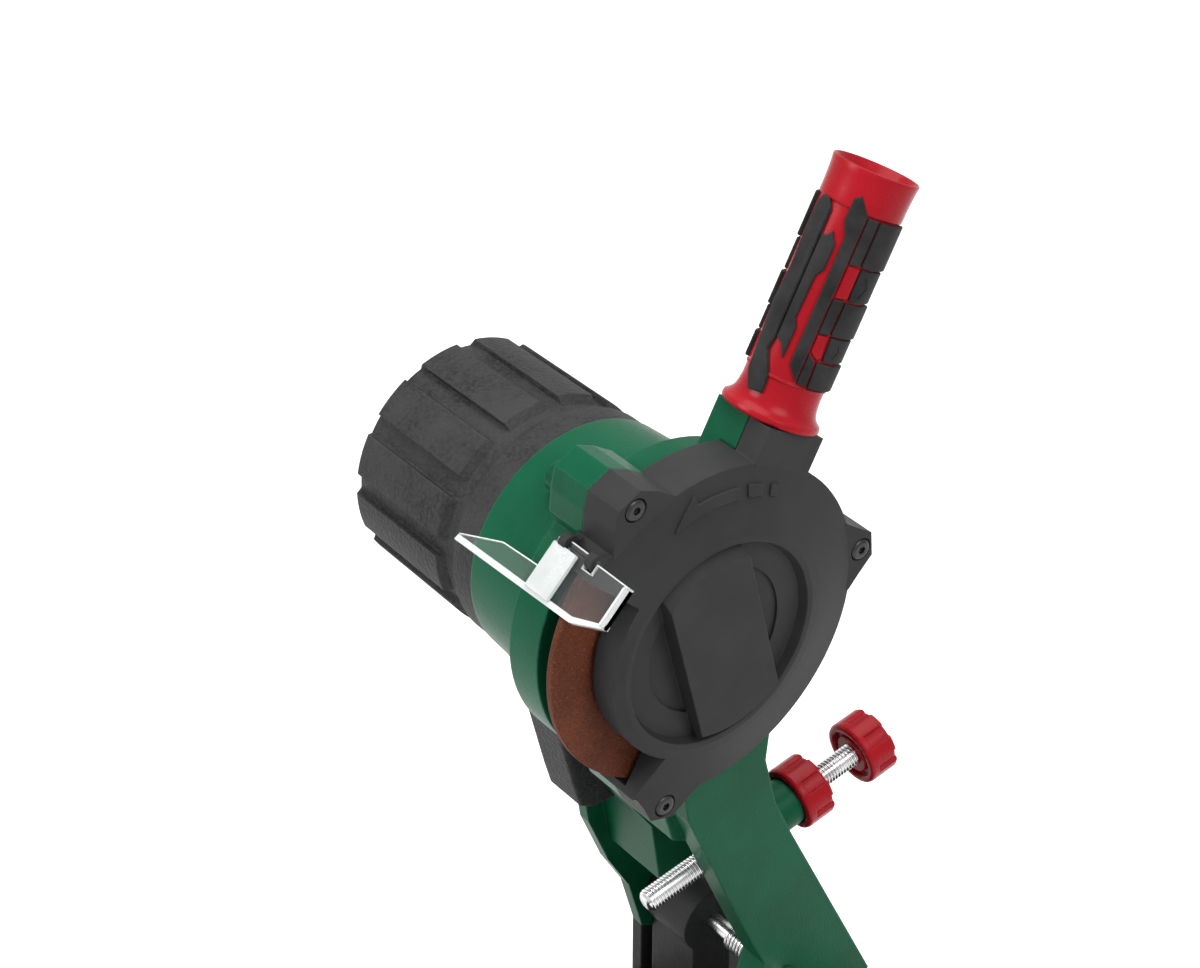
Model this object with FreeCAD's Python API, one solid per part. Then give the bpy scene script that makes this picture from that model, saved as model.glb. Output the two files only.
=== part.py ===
import FreeCAD, Part
import math
import os

V = FreeCAD.Vector

# Placing of the head: X is the spindle axis, -Y the user's side, +Z up (millimetres)
disc_centre_y = 27.0
disc_centre_z = 230.0
hinge_from_disc_y = 43.0
hinge_from_disc_z = -170.0
lowered_angle = 41.0

# clearances
running_clearance = 0.05
moving_gap = 0.3
seat_clearance = 0.15

# grinding disc and spindle
disc_diameter = 108.0
disc_thickness = 3.2
disc_bore_diameter = 23.0
spindle_diameter = 8.0
spindle_rear_x = -121.0
spindle_front_x = 8.2
flange_diameter = 34.0
flange_thickness = 4.0
clamp_nut_across = 13.0
clamp_nut_height = 3.6
rotor_diameter = 38.0
rotor_length = 34.0
rotor_slot_count = 12
commutator_diameter = 20.0
commutator_length = 12.0
fan_diameter = 66.0
fan_blade_count = 12

# guard cover
guard_radius = 57.6
guard_back_x = -8.0
guard_rim_x = 8.2
dish_radius = 44.6
dish_x = 12.2
nose_radius = 40.15
nose_x = 13.5
lip_radius = 36.5
lip_x = 14.4
recess_radius = 34.6
recess_x = 11.2
inner_step_radius = 25.0
inner_step_x = 10.2
guard_wall = 2.3
open_sector_start = 139.5
open_sector_end = 240.0
bar_top_x = 17.0
bar_half_width = 15.4
bar_tilt = 13.9
bar_top_radius = 31.0
bar_foot_radius = 36.4

# guard tabs and their screws: angle and radius of each screw
tab_screws = [(116.4, 64.0), (4.8, 61.4), (254.8, 60.8)]
tab_front_x = 8.6
tab_back_x = -6.0
tab_tip_beyond_screw = 4.6
tab_half_width_root = 13.0
tab_half_width_mid = 9.0
tab_half_width_tip = 4.4
cover_screw_diameter = 4.0
cover_screw_head_diameter = 7.4
cover_screw_head_height = 2.2
cover_screw_length = 22.0

# gear housing and swing arm
case_rear_x = -56.0
case_rear_radius = 41.8
case_flange_radius = 52.0
case_wall = 3.0
screw_boss_at = 45.5
screw_boss_radius = 5.0
screw_boss_rear_x = -40.0
web_left_x = -64.0
web_right_x = -31.0
leg_thickness = 5.0
beam_right_x = 2.0
beam_inner_x = -9.0

# motor cover
motor_rear_x = -127.0
motor_radius = 41.3
motor_core_radius = 38.8
motor_wall = 2.6
motor_rib_count = 12
motor_rib_share = 0.66
motor_collar_x = -65.5

# control housing under the motor
control_rear_x = -64.0
control_front_x = -46.0
control_wall = 2.4
control_rounding = 1.6
control_room_bottom = -98.0
control_room_top = -56.0
switch_depth = 14.0
gland_y = 10.0
gland_z = -92.0
gland_thread_radius = 5.0
gland_thread_length = 6.0

# handle
handle_angle = 61.2
handle_x = -4.5
handle_split_x = -1.0
handle_seat_radius = 68.0
handle_length = 80.0
handle_flange_radius = 15.8
handle_core_radius = 10.8
handle_grip_radius = 13.4
handle_flare_radius = 13.7
grip_pad_count = 6
grip_first_angle = -52.0
grip_window_width = 3.2
handle_stud_diameter = 8.0
handle_stud_length = 34.0
handle_stud_seat = 10.0

# sight shield
shield_thickness = 2.2
shield_hinge_y = -41.7
shield_hinge_z = 43.9
shield_width = 18.2
shield_left_x = -43.0
shield_hood_left_x = -9.5
shield_wing_height = 7.0
shield_corner_rise = 4.4
shield_right_x = 24.0
shield_knuckle_radius = 2.4
shield_pin_diameter = 2.0

# depth stop
stop_x = -12.0
stop_tip_y = -6.8
stop_tip_z = -118.1
stop_direction_y = 0.980
stop_direction_z = 0.199
stop_thread_diameter = 8.0
stop_beam_front = 27.0
stop_boss_end = 62.0
stop_boss_radius = 8.5
stop_knob_diameter = 23.0
stop_knob_thickness = 10.0
stop_knob_at = 97.0
knob_lobe_count = 7

# base
base_left_x = -72.0
base_right_x = 52.0
base_half_length = 126.0
base_height = 10.0
base_recess = 5.0
base_corner_radius = 12.0
bench_hole_centre_x = -9.0
bench_hole_spacing_x = 102.0
bench_hole_spacing_y = 228.0
bench_hole_diameter = 7.0
upright_left_x = -58.7
upright_right_x = -36.0
upright_half_depth = 8.5
upright_top_radius = 12.5
cheek_left_x = -70.0
cheek_right_x = -65.0
axle_diameter = 6.0
axle_nut_across = 10.0
axle_nut_height = 5.0
spring_wire_diameter = 1.0
spring_coil_diameter = 8.4
spring_turn_count = 9
spring_length = 14.0
arm_boss_radius = 14.0

# vise and turntable
vise_y = -74.0
turntable_diameter = 78.0
turntable_height = 8.0
turntable_swing = 35.0
jaw_below_disc = 130.0
jaw_top_z = disc_centre_z - jaw_below_disc
jaw_length = 58.0
jaw_thickness = 8.0
jaw_gap = 2.0
jaw_travel = 4.0
jaw_height = 22.0
guide_pin_diameter = 5.0
clamp_screw_diameter = 8.0
clamp_screw_length = 40.0
clamp_bar_diameter = 5.0
clamp_bar_length = 52.0
pivot_bolt_diameter = 8.0
stop_screw_diameter = 5.0
stop_plate_x = 50.0
stop_carrier_x = 38.5
pawl_pin_diameter = 3.0


def box(x0, x1, y0, y1, z0, z1):
    return Part.makeBox(x1 - x0, y1 - y0, z1 - z0, V(x0, y0, z0))


def rod_x(radius, x0, x1, y=0.0, z=0.0):
    return Part.makeCylinder(radius, x1 - x0, V(x0, y, z), V(1, 0, 0))


def rod_y(radius, y0, y1, x=0.0, z=0.0):
    return Part.makeCylinder(radius, y1 - y0, V(x, y0, z), V(0, 1, 0))


def rod_z(radius, z0, z1, x=0.0, y=0.0):
    return Part.makeCylinder(radius, z1 - z0, V(x, y, z0), V(0, 0, 1))


def prism_x(points, x0, x1):
    corners = [V(x0, y, z) for y, z in points]
    face = Part.Face(Part.makePolygon(corners + [corners[0]]))
    return face.extrude(V(x1 - x0, 0, 0))


def prism_z(points, z0, z1):
    corners = [V(x, y, z0) for x, y in points]
    face = Part.Face(Part.makePolygon(corners + [corners[0]]))
    return face.extrude(V(0, 0, z1 - z0))


def turned_x(profile):
    """Solid of revolution about X from (x, radius) points."""
    corners = [V(x, r, 0) for x, r in profile]
    face = Part.Face(Part.makePolygon(corners + [corners[0]]))
    return face.revolve(V(0, 0, 0), V(1, 0, 0), 360)


def polar(angle, radius):
    a = math.radians(angle)
    return radius * math.cos(a), radius * math.sin(a)


def sector_x(x0, x1, inner, outer, start, end):
    """Part of a ring about X between two angles, in degrees from +Y towards +Z."""
    ring = rod_x(outer, x0, x1)
    if inner > 0:
        ring = ring.cut(rod_x(inner, x0 - 1, x1 + 1))
    steps = max(2, int(math.ceil((end - start) / 60.0)))
    reach = outer / math.cos(math.radians((end - start) / steps / 2)) + 1
    points = [(0.0, 0.0)]
    for i in range(steps + 1):
        points.append(polar(start + (end - start) * i / steps, reach))
    return ring.common(prism_x(points, x0, x1))


def hexagon_x(across, x0, x1, y=0.0, z=0.0):
    radius = across / math.sqrt(3)
    points = []
    for i in range(6):
        py, pz = polar(60 * i, radius)
        points.append((y + py, z + pz))
    return prism_x(points, x0, x1)


def hexagon_z(across, z0, z1, x=0.0, y=0.0):
    radius = across / math.sqrt(3)
    points = []
    for i in range(6):
        px, py = polar(60 * i, radius)
        points.append((x + px, y + py))
    return prism_z(points, z0, z1)


def join(shapes):
    result = shapes[0]
    for shape in shapes[1:]:
        result = result.fuse(shape)
    return result.removeSplitter()


def on_head(shape):
    """Move a shape from the disc-centred frame of the head to the row frame."""
    moved = shape.copy()
    moved.translate(V(0, disc_centre_y, disc_centre_z))
    return moved


def along(shape, origin, direction):
    """Place a shape modelled along +Z so that +Z follows the direction."""
    moved = shape.copy()
    moved.Placement = FreeCAD.Placement(origin, FreeCAD.Rotation(V(0, 0, 1), direction))
    return moved


def save(name, shape):
    if shape.ShapeType == "Compound" and len(shape.Solids) == 1:
        shape = shape.Solids[0]
    shape.exportStep("parts/" + name + ".step")
    print(name, len(shape.Solids), round(shape.Volume), shape.isValid())


hinge_y = disc_centre_y + hinge_from_disc_y
hinge_z = disc_centre_z + hinge_from_disc_z


# Spindle group

def grinding_disc():
    half = disc_thickness / 2
    disc = rod_x(disc_diameter / 2, -half, half)
    rims = [e for e in disc.Edges if abs(e.Length - math.pi * disc_diameter) < 1]
    disc = disc.makeFillet(0.9, rims)
    return disc.cut(rod_x(disc_bore_diameter / 2, -half - 1, half + 1))


def inner_flange():
    half = disc_thickness / 2
    plate = rod_x(flange_diameter / 2, -half - flange_thickness, -half)
    hub = rod_x(disc_bore_diameter / 2 - running_clearance, -half, half - 0.4)
    collar = rod_x(8.0, -half - flange_thickness - 2, -half - flange_thickness)
    bore = rod_x(spindle_diameter / 2, -20, 5)
    return join([plate, hub, collar]).cut(bore)


def clamp_nut():
    half = disc_thickness / 2
    plate = rod_x(flange_diameter / 2, half, half + 2.4)
    nut = hexagon_x(clamp_nut_across, half + 2.4, half + 2.4 + clamp_nut_height)
    bore = rod_x(spindle_diameter / 2, 0, 20)
    return join([plate, nut]).cut(bore)


def spindle_shaft():
    shaft = rod_x(spindle_diameter / 2, spindle_rear_x, spindle_front_x)
    ends = [e for e in shaft.Edges if e.Curve.TypeId == "Part::GeomCircle"]
    return shaft.makeChamfer(0.8, ends)


rotor_x = -95.0


def rotor_core():
    core = rod_x(rotor_diameter / 2, rotor_x, rotor_x + rotor_length)
    for i in range(rotor_slot_count):
        slot = box(rotor_x - 1, rotor_x + rotor_length + 1, rotor_diameter / 2 - 5, rotor_diameter, -1.2, 1.2)
        slot.rotate(V(0, 0, 0), V(1, 0, 0), 360.0 * i / rotor_slot_count)
        core = core.cut(slot)
    front = rod_x(14.0, rotor_x + rotor_length, rotor_x + rotor_length + 5)
    rear = rod_x(14.0, rotor_x - 5, rotor_x)
    drum = rod_x(commutator_diameter / 2, rotor_x - 5 - commutator_length, rotor_x - 5)
    whole = join([core, front, rear, drum])
    return whole.cut(rod_x(spindle_diameter / 2, -140, 20))


fan_x = -56.0


def cooling_fan():
    hub = rod_x(10.0, fan_x, fan_x + 9)
    plate = rod_x(fan_diameter / 2, fan_x, fan_x + 1.6)
    fan = hub.fuse(plate)
    for i in range(fan_blade_count):
        blade = box(fan_x + 1, fan_x + 8, 9.0, fan_diameter / 2 - 0.5, -0.8, 0.8)
        blade.rotate(V(0, 0, 0), V(1, 0, 0), 360.0 * i / fan_blade_count)
        fan = fan.fuse(blade)
    return fan.removeSplitter().cut(rod_x(spindle_diameter / 2, -80, 0))


# Guard cover

def guard_profile(inset):
    """Outer (x, radius) profile of the cover, drawn in by a wall for its hollow."""
    return [
        (guard_back_x - inset, 0),
        (guard_back_x - inset, guard_radius - inset),
        (guard_rim_x - inset, guard_radius - inset),
        (dish_x - inset, dish_radius - inset / 2),
        (nose_x - inset, nose_radius - inset / 2),
        (lip_x - inset, lip_radius - inset / 2),
        (recess_x - inset if inset else lip_x, recess_radius - inset),
        (recess_x - inset, recess_radius - inset) if inset else (recess_x, recess_radius - 1.4),
        (recess_x - inset, 0),
    ]


def tab_outline(screw_radius):
    return [
        (50.0, -tab_half_width_root),
        (56.0, -tab_half_width_root),
        (screw_radius - 1.0, -tab_half_width_mid),
        (screw_radius + tab_tip_beyond_screw, -tab_half_width_tip),
        (screw_radius + tab_tip_beyond_screw, tab_half_width_tip),
        (screw_radius - 1.0, tab_half_width_mid),
        (56.0, tab_half_width_root),
        (50.0, tab_half_width_root),
    ]


def guard_cover():
    body = turned_x(guard_profile(0.0))
    hollow = turned_x(guard_profile(guard_wall))
    opening = sector_x(-30, 30, nose_radius, 90, open_sector_start, open_sector_end)
    wall_angle = math.degrees(guard_wall / guard_radius)
    kept = sector_x(-30, 30, nose_radius - guard_wall, 90,
                    open_sector_start - wall_angle, open_sector_end + wall_angle)
    body = body.cut(opening)
    for angle, radius in tab_screws:
        tab = prism_x(tab_outline(radius), tab_back_x, tab_front_x)
        tab.rotate(V(0, 0, 0), V(1, 0, 0), angle)
        body = body.fuse(tab)
    shell = body.cut(hollow.cut(kept))
    running_slot = rod_x(disc_diameter / 2 + 1.4, -disc_thickness / 2 - 2.2, disc_thickness / 2 + 2.0)
    shell = shell.cut(running_slot)
    behind = sector_x(-30, disc_thickness / 2 + 2.0, 20, 90, open_sector_start - 0.01, open_sector_end + 0.01)
    shell = shell.cut(behind)
    shell = shell.cut(rod_x(inner_step_radius, inner_step_x, 30))
    shell = shell.fuse(raised_bar())
    pad_y, pad_z = polar(handle_angle, 1.0)
    pad = along(box(-12, 12, -12, 12, 0, handle_seat_radius - 50.4), V(0, pad_y * 50, pad_z * 50), V(0, pad_y, pad_z))
    pad = pad.common(box(handle_split_x + 0.2, tab_front_x, -100, 100, -100, 100)).cut(running_slot)
    shell = shell.fuse(pad).cut(handle_stud_hole())
    for angle, radius in tab_screws:
        y, z = polar(angle, radius)
        shell = shell.cut(rod_x(cover_screw_diameter / 2 + seat_clearance, -20, 20, y, z))
        shell = shell.cut(rod_x(cover_screw_head_diameter / 2 + 0.3, tab_front_x - 1.6, 20, y, z))
    for x0, x1 in ((-7.5, -4.6), (5.0, 8.0)):
        ear = rod_x(shield_knuckle_radius + 0.4, x0, x1, shield_hinge_y, shield_hinge_z)
        foot = box(x0, x1, shield_hinge_y - 0.5, shield_hinge_y + 6, shield_hinge_z - 3.2, shield_hinge_z + 0.5)
        ear = ear.fuse(foot).cut(rod_x(disc_diameter / 2 + 1.4, -20, 20))
        shell = shell.fuse(ear)
    shell = shell.cut(rod_x(shield_pin_diameter / 2, -20, 20, shield_hinge_y, shield_hinge_z))
    return shell.removeSplitter()


def raised_bar():
    cone = Part.makeCone(bar_foot_radius, bar_top_radius, bar_top_x - inner_step_x + 1.0,
                         V(inner_step_x - 1.0, 0, 0), V(1, 0, 0))
    slab = box(0, 30, -bar_half_width, bar_half_width, -60, 60)
    slab.rotate(V(0, 0, 0), V(1, 0, 0), bar_tilt)
    return cone.common(slab)


def cover_screws():
    screws = []
    for angle, radius in tab_screws:
        y, z = polar(angle, radius)
        seat = tab_front_x - 1.6
        head = rod_x(cover_screw_head_diameter / 2, seat, seat + cover_screw_head_height, y, z)
        rims = [e for e in head.Edges if abs(e.CenterOfMass.x - seat - cover_screw_head_height) < 0.01]
        head = head.makeFillet(1.4, rims)
        shank = rod_x(cover_screw_diameter / 2, seat - cover_screw_length, seat, y, z)
        socket = hexagon_x(2.5, seat + 0.9, seat + 5, y, z)
        screws.append(head.fuse(shank).cut(socket))
    return Part.makeCompound(screws)


# Gear housing with the swing arm

def case_profile():
    return [
        (case_rear_x, 0),
        (case_rear_x, case_rear_radius),
        (case_rear_x + 26, case_rear_radius + 1.6),
        (case_rear_x + 34, case_flange_radius),
        (guard_back_x - 0.2, case_flange_radius),
        (guard_back_x - 0.2, 0),
    ]


def case_hollow():
    return [
        (case_rear_x - 1, 0),
        (case_rear_x - 1, case_rear_radius - case_wall),
        (case_rear_x + 14, case_rear_radius - case_wall),
        (case_rear_x + 14, 18),
        (case_rear_x + 30, 18),
        (case_rear_x + 30, 0),
    ]


beam_outline = [
    (-6.0, -40.0), (-0.6, -78.0), (26.6, -142.0), (34.0, -158.0), (30.0, -170.0),
    (34.0, -181.0), (46.0, -186.0), (66.0, -194.0), (79.0, -196.0), (83.0, -187.0),
    (43.5, -105.0), (36.0, -88.0), (31.0, -68.0), (34.0, -40.0),
]
web_outline = [
    (-6.0, -40.0), (-2.0, -80.0), (2.0, -94.0), (11.2, -108.0), (14.8, -132.8),
    (40.0, -136.0), (58.0, -134.0), (43.5, -105.0), (36.0, -88.0), (31.0, -68.0), (34.0, -40.0),
]
leg_outline = [
    (-2.0, -80.0), (2.0, -94.0), (6.3, -122.0), (15.0, -144.0), (24.0, -160.0), (30.0, -182.0),
    (42.0, -188.0), (54.0, -182.0), (58.0, -166.0), (58.0, -134.0), (43.5, -105.0), (36.0, -88.0),
]


def gear_housing():
    body = turned_x(case_profile())
    web = prism_x(web_outline, web_left_x, web_right_x)
    beam = prism_x(beam_outline, beam_inner_x, beam_right_x)
    bridge = prism_x(web_outline[:3] + [(26.6, -108.0)] + web_outline[7:], web_right_x, beam_inner_x)
    leg = prism_x(leg_outline, web_left_x, web_left_x + leg_thickness)
    arm = join([web, beam, bridge, leg])
    arm = arm.cut(rod_x(guard_radius + moving_gap, guard_back_x - 0.2, 30))
    arm = arm.cut(rod_x(case_rear_radius, -80, case_rear_x))
    boss_y = stop_tip_y + stop_direction_y * stop_beam_front
    boss_z = stop_tip_z + stop_direction_z * stop_beam_front
    stop_dir = V(0, stop_direction_y, stop_direction_z)
    stop_boss = along(rod_z(stop_boss_radius, 0, stop_boss_end - stop_beam_front), V(stop_x, boss_y, boss_z), stop_dir)
    body = join([body, arm, stop_boss])
    y, z = polar(handle_angle, 1.0)
    pad = along(box(-11, 6, -12, 12, 0, handle_seat_radius - 44), V(handle_x, y * 44, z * 44), V(0, y, z))
    pad = pad.common(box(-30, handle_split_x - 0.2, -100, 100, -100, 100))
    pad = pad.cut(rod_x(guard_radius + 0.15, guard_back_x, 30))
    body = body.fuse(pad)
    for angle, radius in tab_screws:
        ty, tz = polar(angle, radius)
        lug = prism_x(tab_outline(radius), case_rear_x + 34, tab_back_x)
        lug.rotate(V(0, 0, 0), V(1, 0, 0), angle)
        lug = lug.cut(rod_x(guard_radius + 0.15, guard_back_x, 30))
        boss_y, boss_z = polar(angle, screw_boss_at)
        boss = rod_x(screw_boss_radius, screw_boss_rear_x, case_rear_x + 34, boss_y, boss_z)
        body = body.fuse(lug).fuse(boss)
        body = body.cut(rod_x(cover_screw_diameter / 2, tab_front_x - 1.6 - cover_screw_length - 1, 30, ty, tz))
    body = body.cut(prism_x(control_outline, control_rear_x - seat_clearance, control_front_x + seat_clearance))
    body = body.cut(turned_x(case_hollow()))
    body = body.cut(rod_x(spindle_diameter / 2 + 1.0, -90, 10))
    body = body.cut(rod_x(bearing_radius, case_rear_x + 30, case_rear_x + 30 + bearing_width))
    body = body.cut(along(rod_z(stop_thread_diameter / 2 + running_clearance, -20, 90),
                          V(stop_x, stop_tip_y, stop_tip_z), stop_dir))
    body = body.cut(handle_stud_hole())
    body = body.cut(rod_x(axle_diameter / 2 + running_clearance, -100, 20, hinge_from_disc_y, hinge_from_disc_z))
    return body.removeSplitter()


bearing_radius = 11.0
bearing_width = 7.0


def ball_bearings():
    rings = []
    for x in (case_rear_x + 30, spindle_rear_x + 1):
        bore = rod_x(spindle_diameter / 2 + running_clearance, x - 1, x + 10)
        ring = rod_x(bearing_radius, x, x + bearing_width).cut(bore)
        groove = turned_x([(x - 1, 6.0), (x - 1, 9.0), (x + 0.6, 9.0), (x + 0.6, 6.0)])
        rings.append(ring.cut(groove))
    return Part.makeCompound(rings)


# Motor

def motor_cover():
    core = turned_x([
        (motor_rear_x, 0), (motor_rear_x, 30.0), (motor_rear_x + 5, motor_core_radius - 1),
        (motor_rear_x + 12, motor_core_radius), (motor_collar_x - 4, motor_core_radius),
        (motor_collar_x, motor_radius), (case_rear_x - 0.1, motor_radius), (case_rear_x - 0.1, 0),
    ])
    share = 360.0 / motor_rib_count
    panel = turned_x([
        (motor_rear_x + 1, 20.0), (motor_rear_x + 1, 32.0), (motor_rear_x + 7, motor_radius - 0.4),
        (motor_collar_x - 10, motor_radius), (motor_collar_x - 6, motor_core_radius - 1), (motor_collar_x - 6, 20.0),
    ])
    for i in range(motor_rib_count):
        wedge = sector_x(-140, -60, 0, 60, 0, share * motor_rib_share)
        rib = panel.common(wedge)
        rib.rotate(V(0, 0, 0), V(1, 0, 0), share * i)
        core = core.fuse(rib)
    inner = turned_x([
        (motor_rear_x + motor_wall, 0), (motor_rear_x + motor_wall, 26.0),
        (motor_rear_x + 9, motor_core_radius - motor_wall), (case_rear_x + 1, motor_core_radius - motor_wall),
        (case_rear_x + 1, 0),
    ])
    seat = rod_x(bearing_radius + 3, motor_rear_x + 1, spindle_rear_x + 1 + bearing_width - 1)
    seat = seat.cut(rod_x(bearing_radius, spindle_rear_x + 1, -100))
    shell = core.cut(inner).fuse(seat)
    shell = shell.cut(rod_x(spindle_diameter / 2 + 0.5, spindle_rear_x - 1, spindle_rear_x + 20))
    for i in range(10):
        y, z = polar(36 * i, 22.0)
        shell = shell.cut(rod_x(2.6, motor_rear_x - 5, motor_rear_x + 10, y, z))
    return shell.removeSplitter()


def motor_stator():
    ring = rod_x(motor_core_radius - motor_wall - 0.2, rotor_x, rotor_x + rotor_length)
    bore = rod_x(rotor_diameter / 2 + 0.6, rotor_x - 1, rotor_x + rotor_length + 1)
    pocket = sector_x(rotor_x - 1, rotor_x + rotor_length + 1, 21.5, 30.0, 45, 135)
    ring = ring.cut(bore).cut(pocket)
    pocket.rotate(V(0, 0, 0), V(1, 0, 0), 180)
    return ring.cut(pocket)


def field_windings():
    coils = []
    for start in (50, 230):
        coil = sector_x(rotor_x - 4, rotor_x + rotor_length + 3.5, 22.5, 29.0, start, start + 80)
        coils.append(coil)
    return Part.makeCompound(coils)


def carbon_brushes():
    pieces = []
    for side in (-1, 1):
        inner = commutator_diameter / 2 + 0.05
        brush = box(rotor_x - 14, rotor_x - 8, -3, 3, inner, 24) if side > 0 else \
            box(rotor_x - 14, rotor_x - 8, -3, 3, -24, -inner)
        holder_low, holder_high = (16, motor_core_radius - motor_wall - 0.6)
        if side < 0:
            holder_low, holder_high = -holder_high, -holder_low
        holder = box(rotor_x - 16, rotor_x - 6, -5, 5, holder_low, holder_high)
        pieces.append(holder.fuse(brush).removeSplitter())
    return Part.makeCompound(pieces)


# Control housing

control_outline = [
    (-27.0, -32.4), (-21.3, -43.0), (-16.4, -61.6), (-9.5, -90.2), (-6.7, -100.2),
    (-2.0, -103.0), (24.0, -103.0), (28.0, -98.0), (30.0, -60.0), (27.0, -32.0),
]


def control_housing():
    body = prism_x(control_outline, control_rear_x, control_front_x)
    rounds = [e for e in body.Edges if e.CenterOfMass.y < 20 and e.CenterOfMass.z < -34]
    body = body.makeFillet(control_rounding, rounds)
    body = body.cut(rod_x(motor_radius + seat_clearance, -200, 0))
    case = turned_x([(case_rear_x - 0.15, 0), (case_rear_x - 0.15, case_rear_radius + 0.2),
                     (-20, case_rear_radius + 3), (-20, 0)])
    body = body.cut(case)
    room = box(control_rear_x + control_wall, control_front_x - control_wall, switch_y - 8, switch_y + 18,
               control_room_bottom, control_room_top)
    body = body.cut(room)
    body = body.cut(switch_hole())
    gland = rod_x(gland_thread_radius, control_rear_x - 2, control_rear_x + gland_thread_length, gland_y, gland_z)
    return body.cut(gland)


switch_y = 6.0
switch_z = -72.0
switch_half_y = 6.5
switch_half_z = 10.0


def switch_hole():
    return box(control_rear_x - 1, control_rear_x + switch_depth - 2, switch_y - switch_half_y, switch_y + switch_half_y,
               switch_z - switch_half_z, switch_z + switch_half_z)


def switch_body():
    flange = box(control_rear_x - 1.4, control_rear_x, switch_y - switch_half_y - 1.5, switch_y + switch_half_y + 1.5,
                 switch_z - switch_half_z - 1.5, switch_z + switch_half_z + 1.5)
    inner = box(control_rear_x, control_rear_x + switch_depth, switch_y - switch_half_y + 0.1, switch_y + switch_half_y - 0.1,
                switch_z - switch_half_z + 0.1, switch_z + switch_half_z - 0.1)
    well = box(control_rear_x - 3, control_rear_x + 8, switch_y - 5.0, switch_y + 5.0, switch_z - 8.6, switch_z + 8.6)
    pivot = rod_y(rocker_pivot_radius + running_clearance, switch_y - 6.1, switch_y + 6.1, control_rear_x + 1.2, switch_z)
    return join([flange, inner]).cut(well).cut(pivot)


rocker_throw = 12.0
rocker_pivot_radius = 1.2


def switch_rocker():
    """Rocker that turns about Y behind the frame's front, at rest tilted to off."""
    profile = [(0.0, -8.0), (-2.6, -7.6), (-1.0, 0.0), (-2.6, 7.6), (0.0, 8.0), (4.4, 4.0), (4.4, -4.0)]
    corners = [V(x, 0, z) for x, z in profile]
    face = Part.Face(Part.makePolygon(corners + [corners[0]]))
    rocker = face.extrude(V(0, 9.4, 0))
    rocker.translate(V(0, -4.7, 0))
    rocker = join([rocker, rod_y(rocker_pivot_radius, -5.9, 5.9)])
    rocker.rotate(V(0, 0, 0), V(0, 1, 0), rocker_throw / 2)
    rocker.translate(V(control_rear_x + 1.2, switch_y, switch_z))
    return rocker


def cable_gland():
    nut = hexagon_x(16.0, control_rear_x - 8, control_rear_x, gland_y, gland_z)
    nose = rod_x(6.4, control_rear_x - 13, control_rear_x - 8, gland_y, gland_z)
    thread = rod_x(gland_thread_radius - seat_clearance, control_rear_x, control_rear_x + gland_thread_length, gland_y, gland_z)
    bore = rod_x(3.4, control_rear_x - 20, control_rear_x + 10, gland_y, gland_z)
    return join([nut, nose, thread]).cut(bore)


# Handle

def handle_stud_hole():
    y, z = polar(handle_angle, 1.0)
    hole = rod_z(handle_stud_diameter / 2, handle_seat_radius - handle_stud_seat, 120)
    return along(hole, V(handle_x, 0, 0), V(0, y, z))


def handle_place(shape):
    y, z = polar(handle_angle, 1.0)
    return along(shape, V(handle_x, y * handle_seat_radius, z * handle_seat_radius), V(0, y, z))


def turned_z(profile):
    corners = [V(r, 0, z) for r, z in profile]
    face = Part.Face(Part.makePolygon(corners + [corners[0]]))
    return face.revolve(V(0, 0, 0), V(0, 0, 1), 360)


def handle_core():
    core = turned_z([
        (0, 0), (handle_flange_radius - 1.5, 0), (handle_flange_radius, 1.6), (handle_flange_radius, 3.4),
        (handle_flange_radius - 1.8, 5.0), (handle_core_radius + 1.2, 7.0), (handle_core_radius, 11.0),
        (handle_core_radius, 63.2), (handle_core_radius + 0.6, 66.0), (12.6, 68.0), (12.9, 71.5), (12.6, 72.2),
        (handle_flare_radius, handle_length - 0.6), (handle_flare_radius - 0.6, handle_length),
        (10.6, handle_length), (8.4, handle_length - 5), (0, handle_length - 5),
    ])
    bore = rod_z(handle_stud_diameter / 2, -1, handle_stud_length - handle_stud_seat)
    return handle_place(core.cut(bore))


def grip_pad(half_width, low, high, windows):
    """One rubber pad of the grip at angle 0, pointed at both ends, with its windows."""
    ring = turned_z([
        (handle_core_radius, low), (handle_core_radius + 1.5, low), (handle_grip_radius, low + 2.5),
        (handle_grip_radius, high - 2.5), (handle_core_radius + 1.5, high), (handle_core_radius, high),
    ])
    outline = [
        (-half_width, low + 5), (-half_width / 3, low), (half_width / 3, low), (half_width, low + 5),
        (half_width, high - 5), (half_width / 3, high), (-half_width / 3, high), (-half_width, high - 5),
    ]
    pad = ring.common(prism_x(outline, 5, 30))
    for start, end in windows:
        pad = pad.cut(box(5, 30, 0.5 - half_width, 0.5 - half_width + grip_window_width, start, end))
    return pad


def handle_grips():
    pads = []
    for i in range(grip_pad_count // 2):
        turn = 720.0 / grip_pad_count
        plain = grip_pad(5.0, 11.0, 63.0, [])
        plain.rotate(V(0, 0, 0), V(0, 0, 1), grip_first_angle + turn * i)
        windowed = grip_pad(5.9, 14.0, 59.0, [(21.0, 29.0), (38.0, 47.0)])
        windowed.rotate(V(0, 0, 0), V(0, 0, 1), grip_first_angle + turn * (i + 0.5))
        pads.append(plain)
        pads.append(windowed)
    return handle_place(Part.makeCompound(pads))


def handle_stud():
    y, z = polar(handle_angle, 1.0)
    start = handle_seat_radius - handle_stud_seat
    return along(rod_z(handle_stud_diameter / 2, start, start + handle_stud_length), V(handle_x, 0, 0), V(0, y, z))


# Sight shield, modelled flat with its hinge along X, then leaned by 45 degrees

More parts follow.
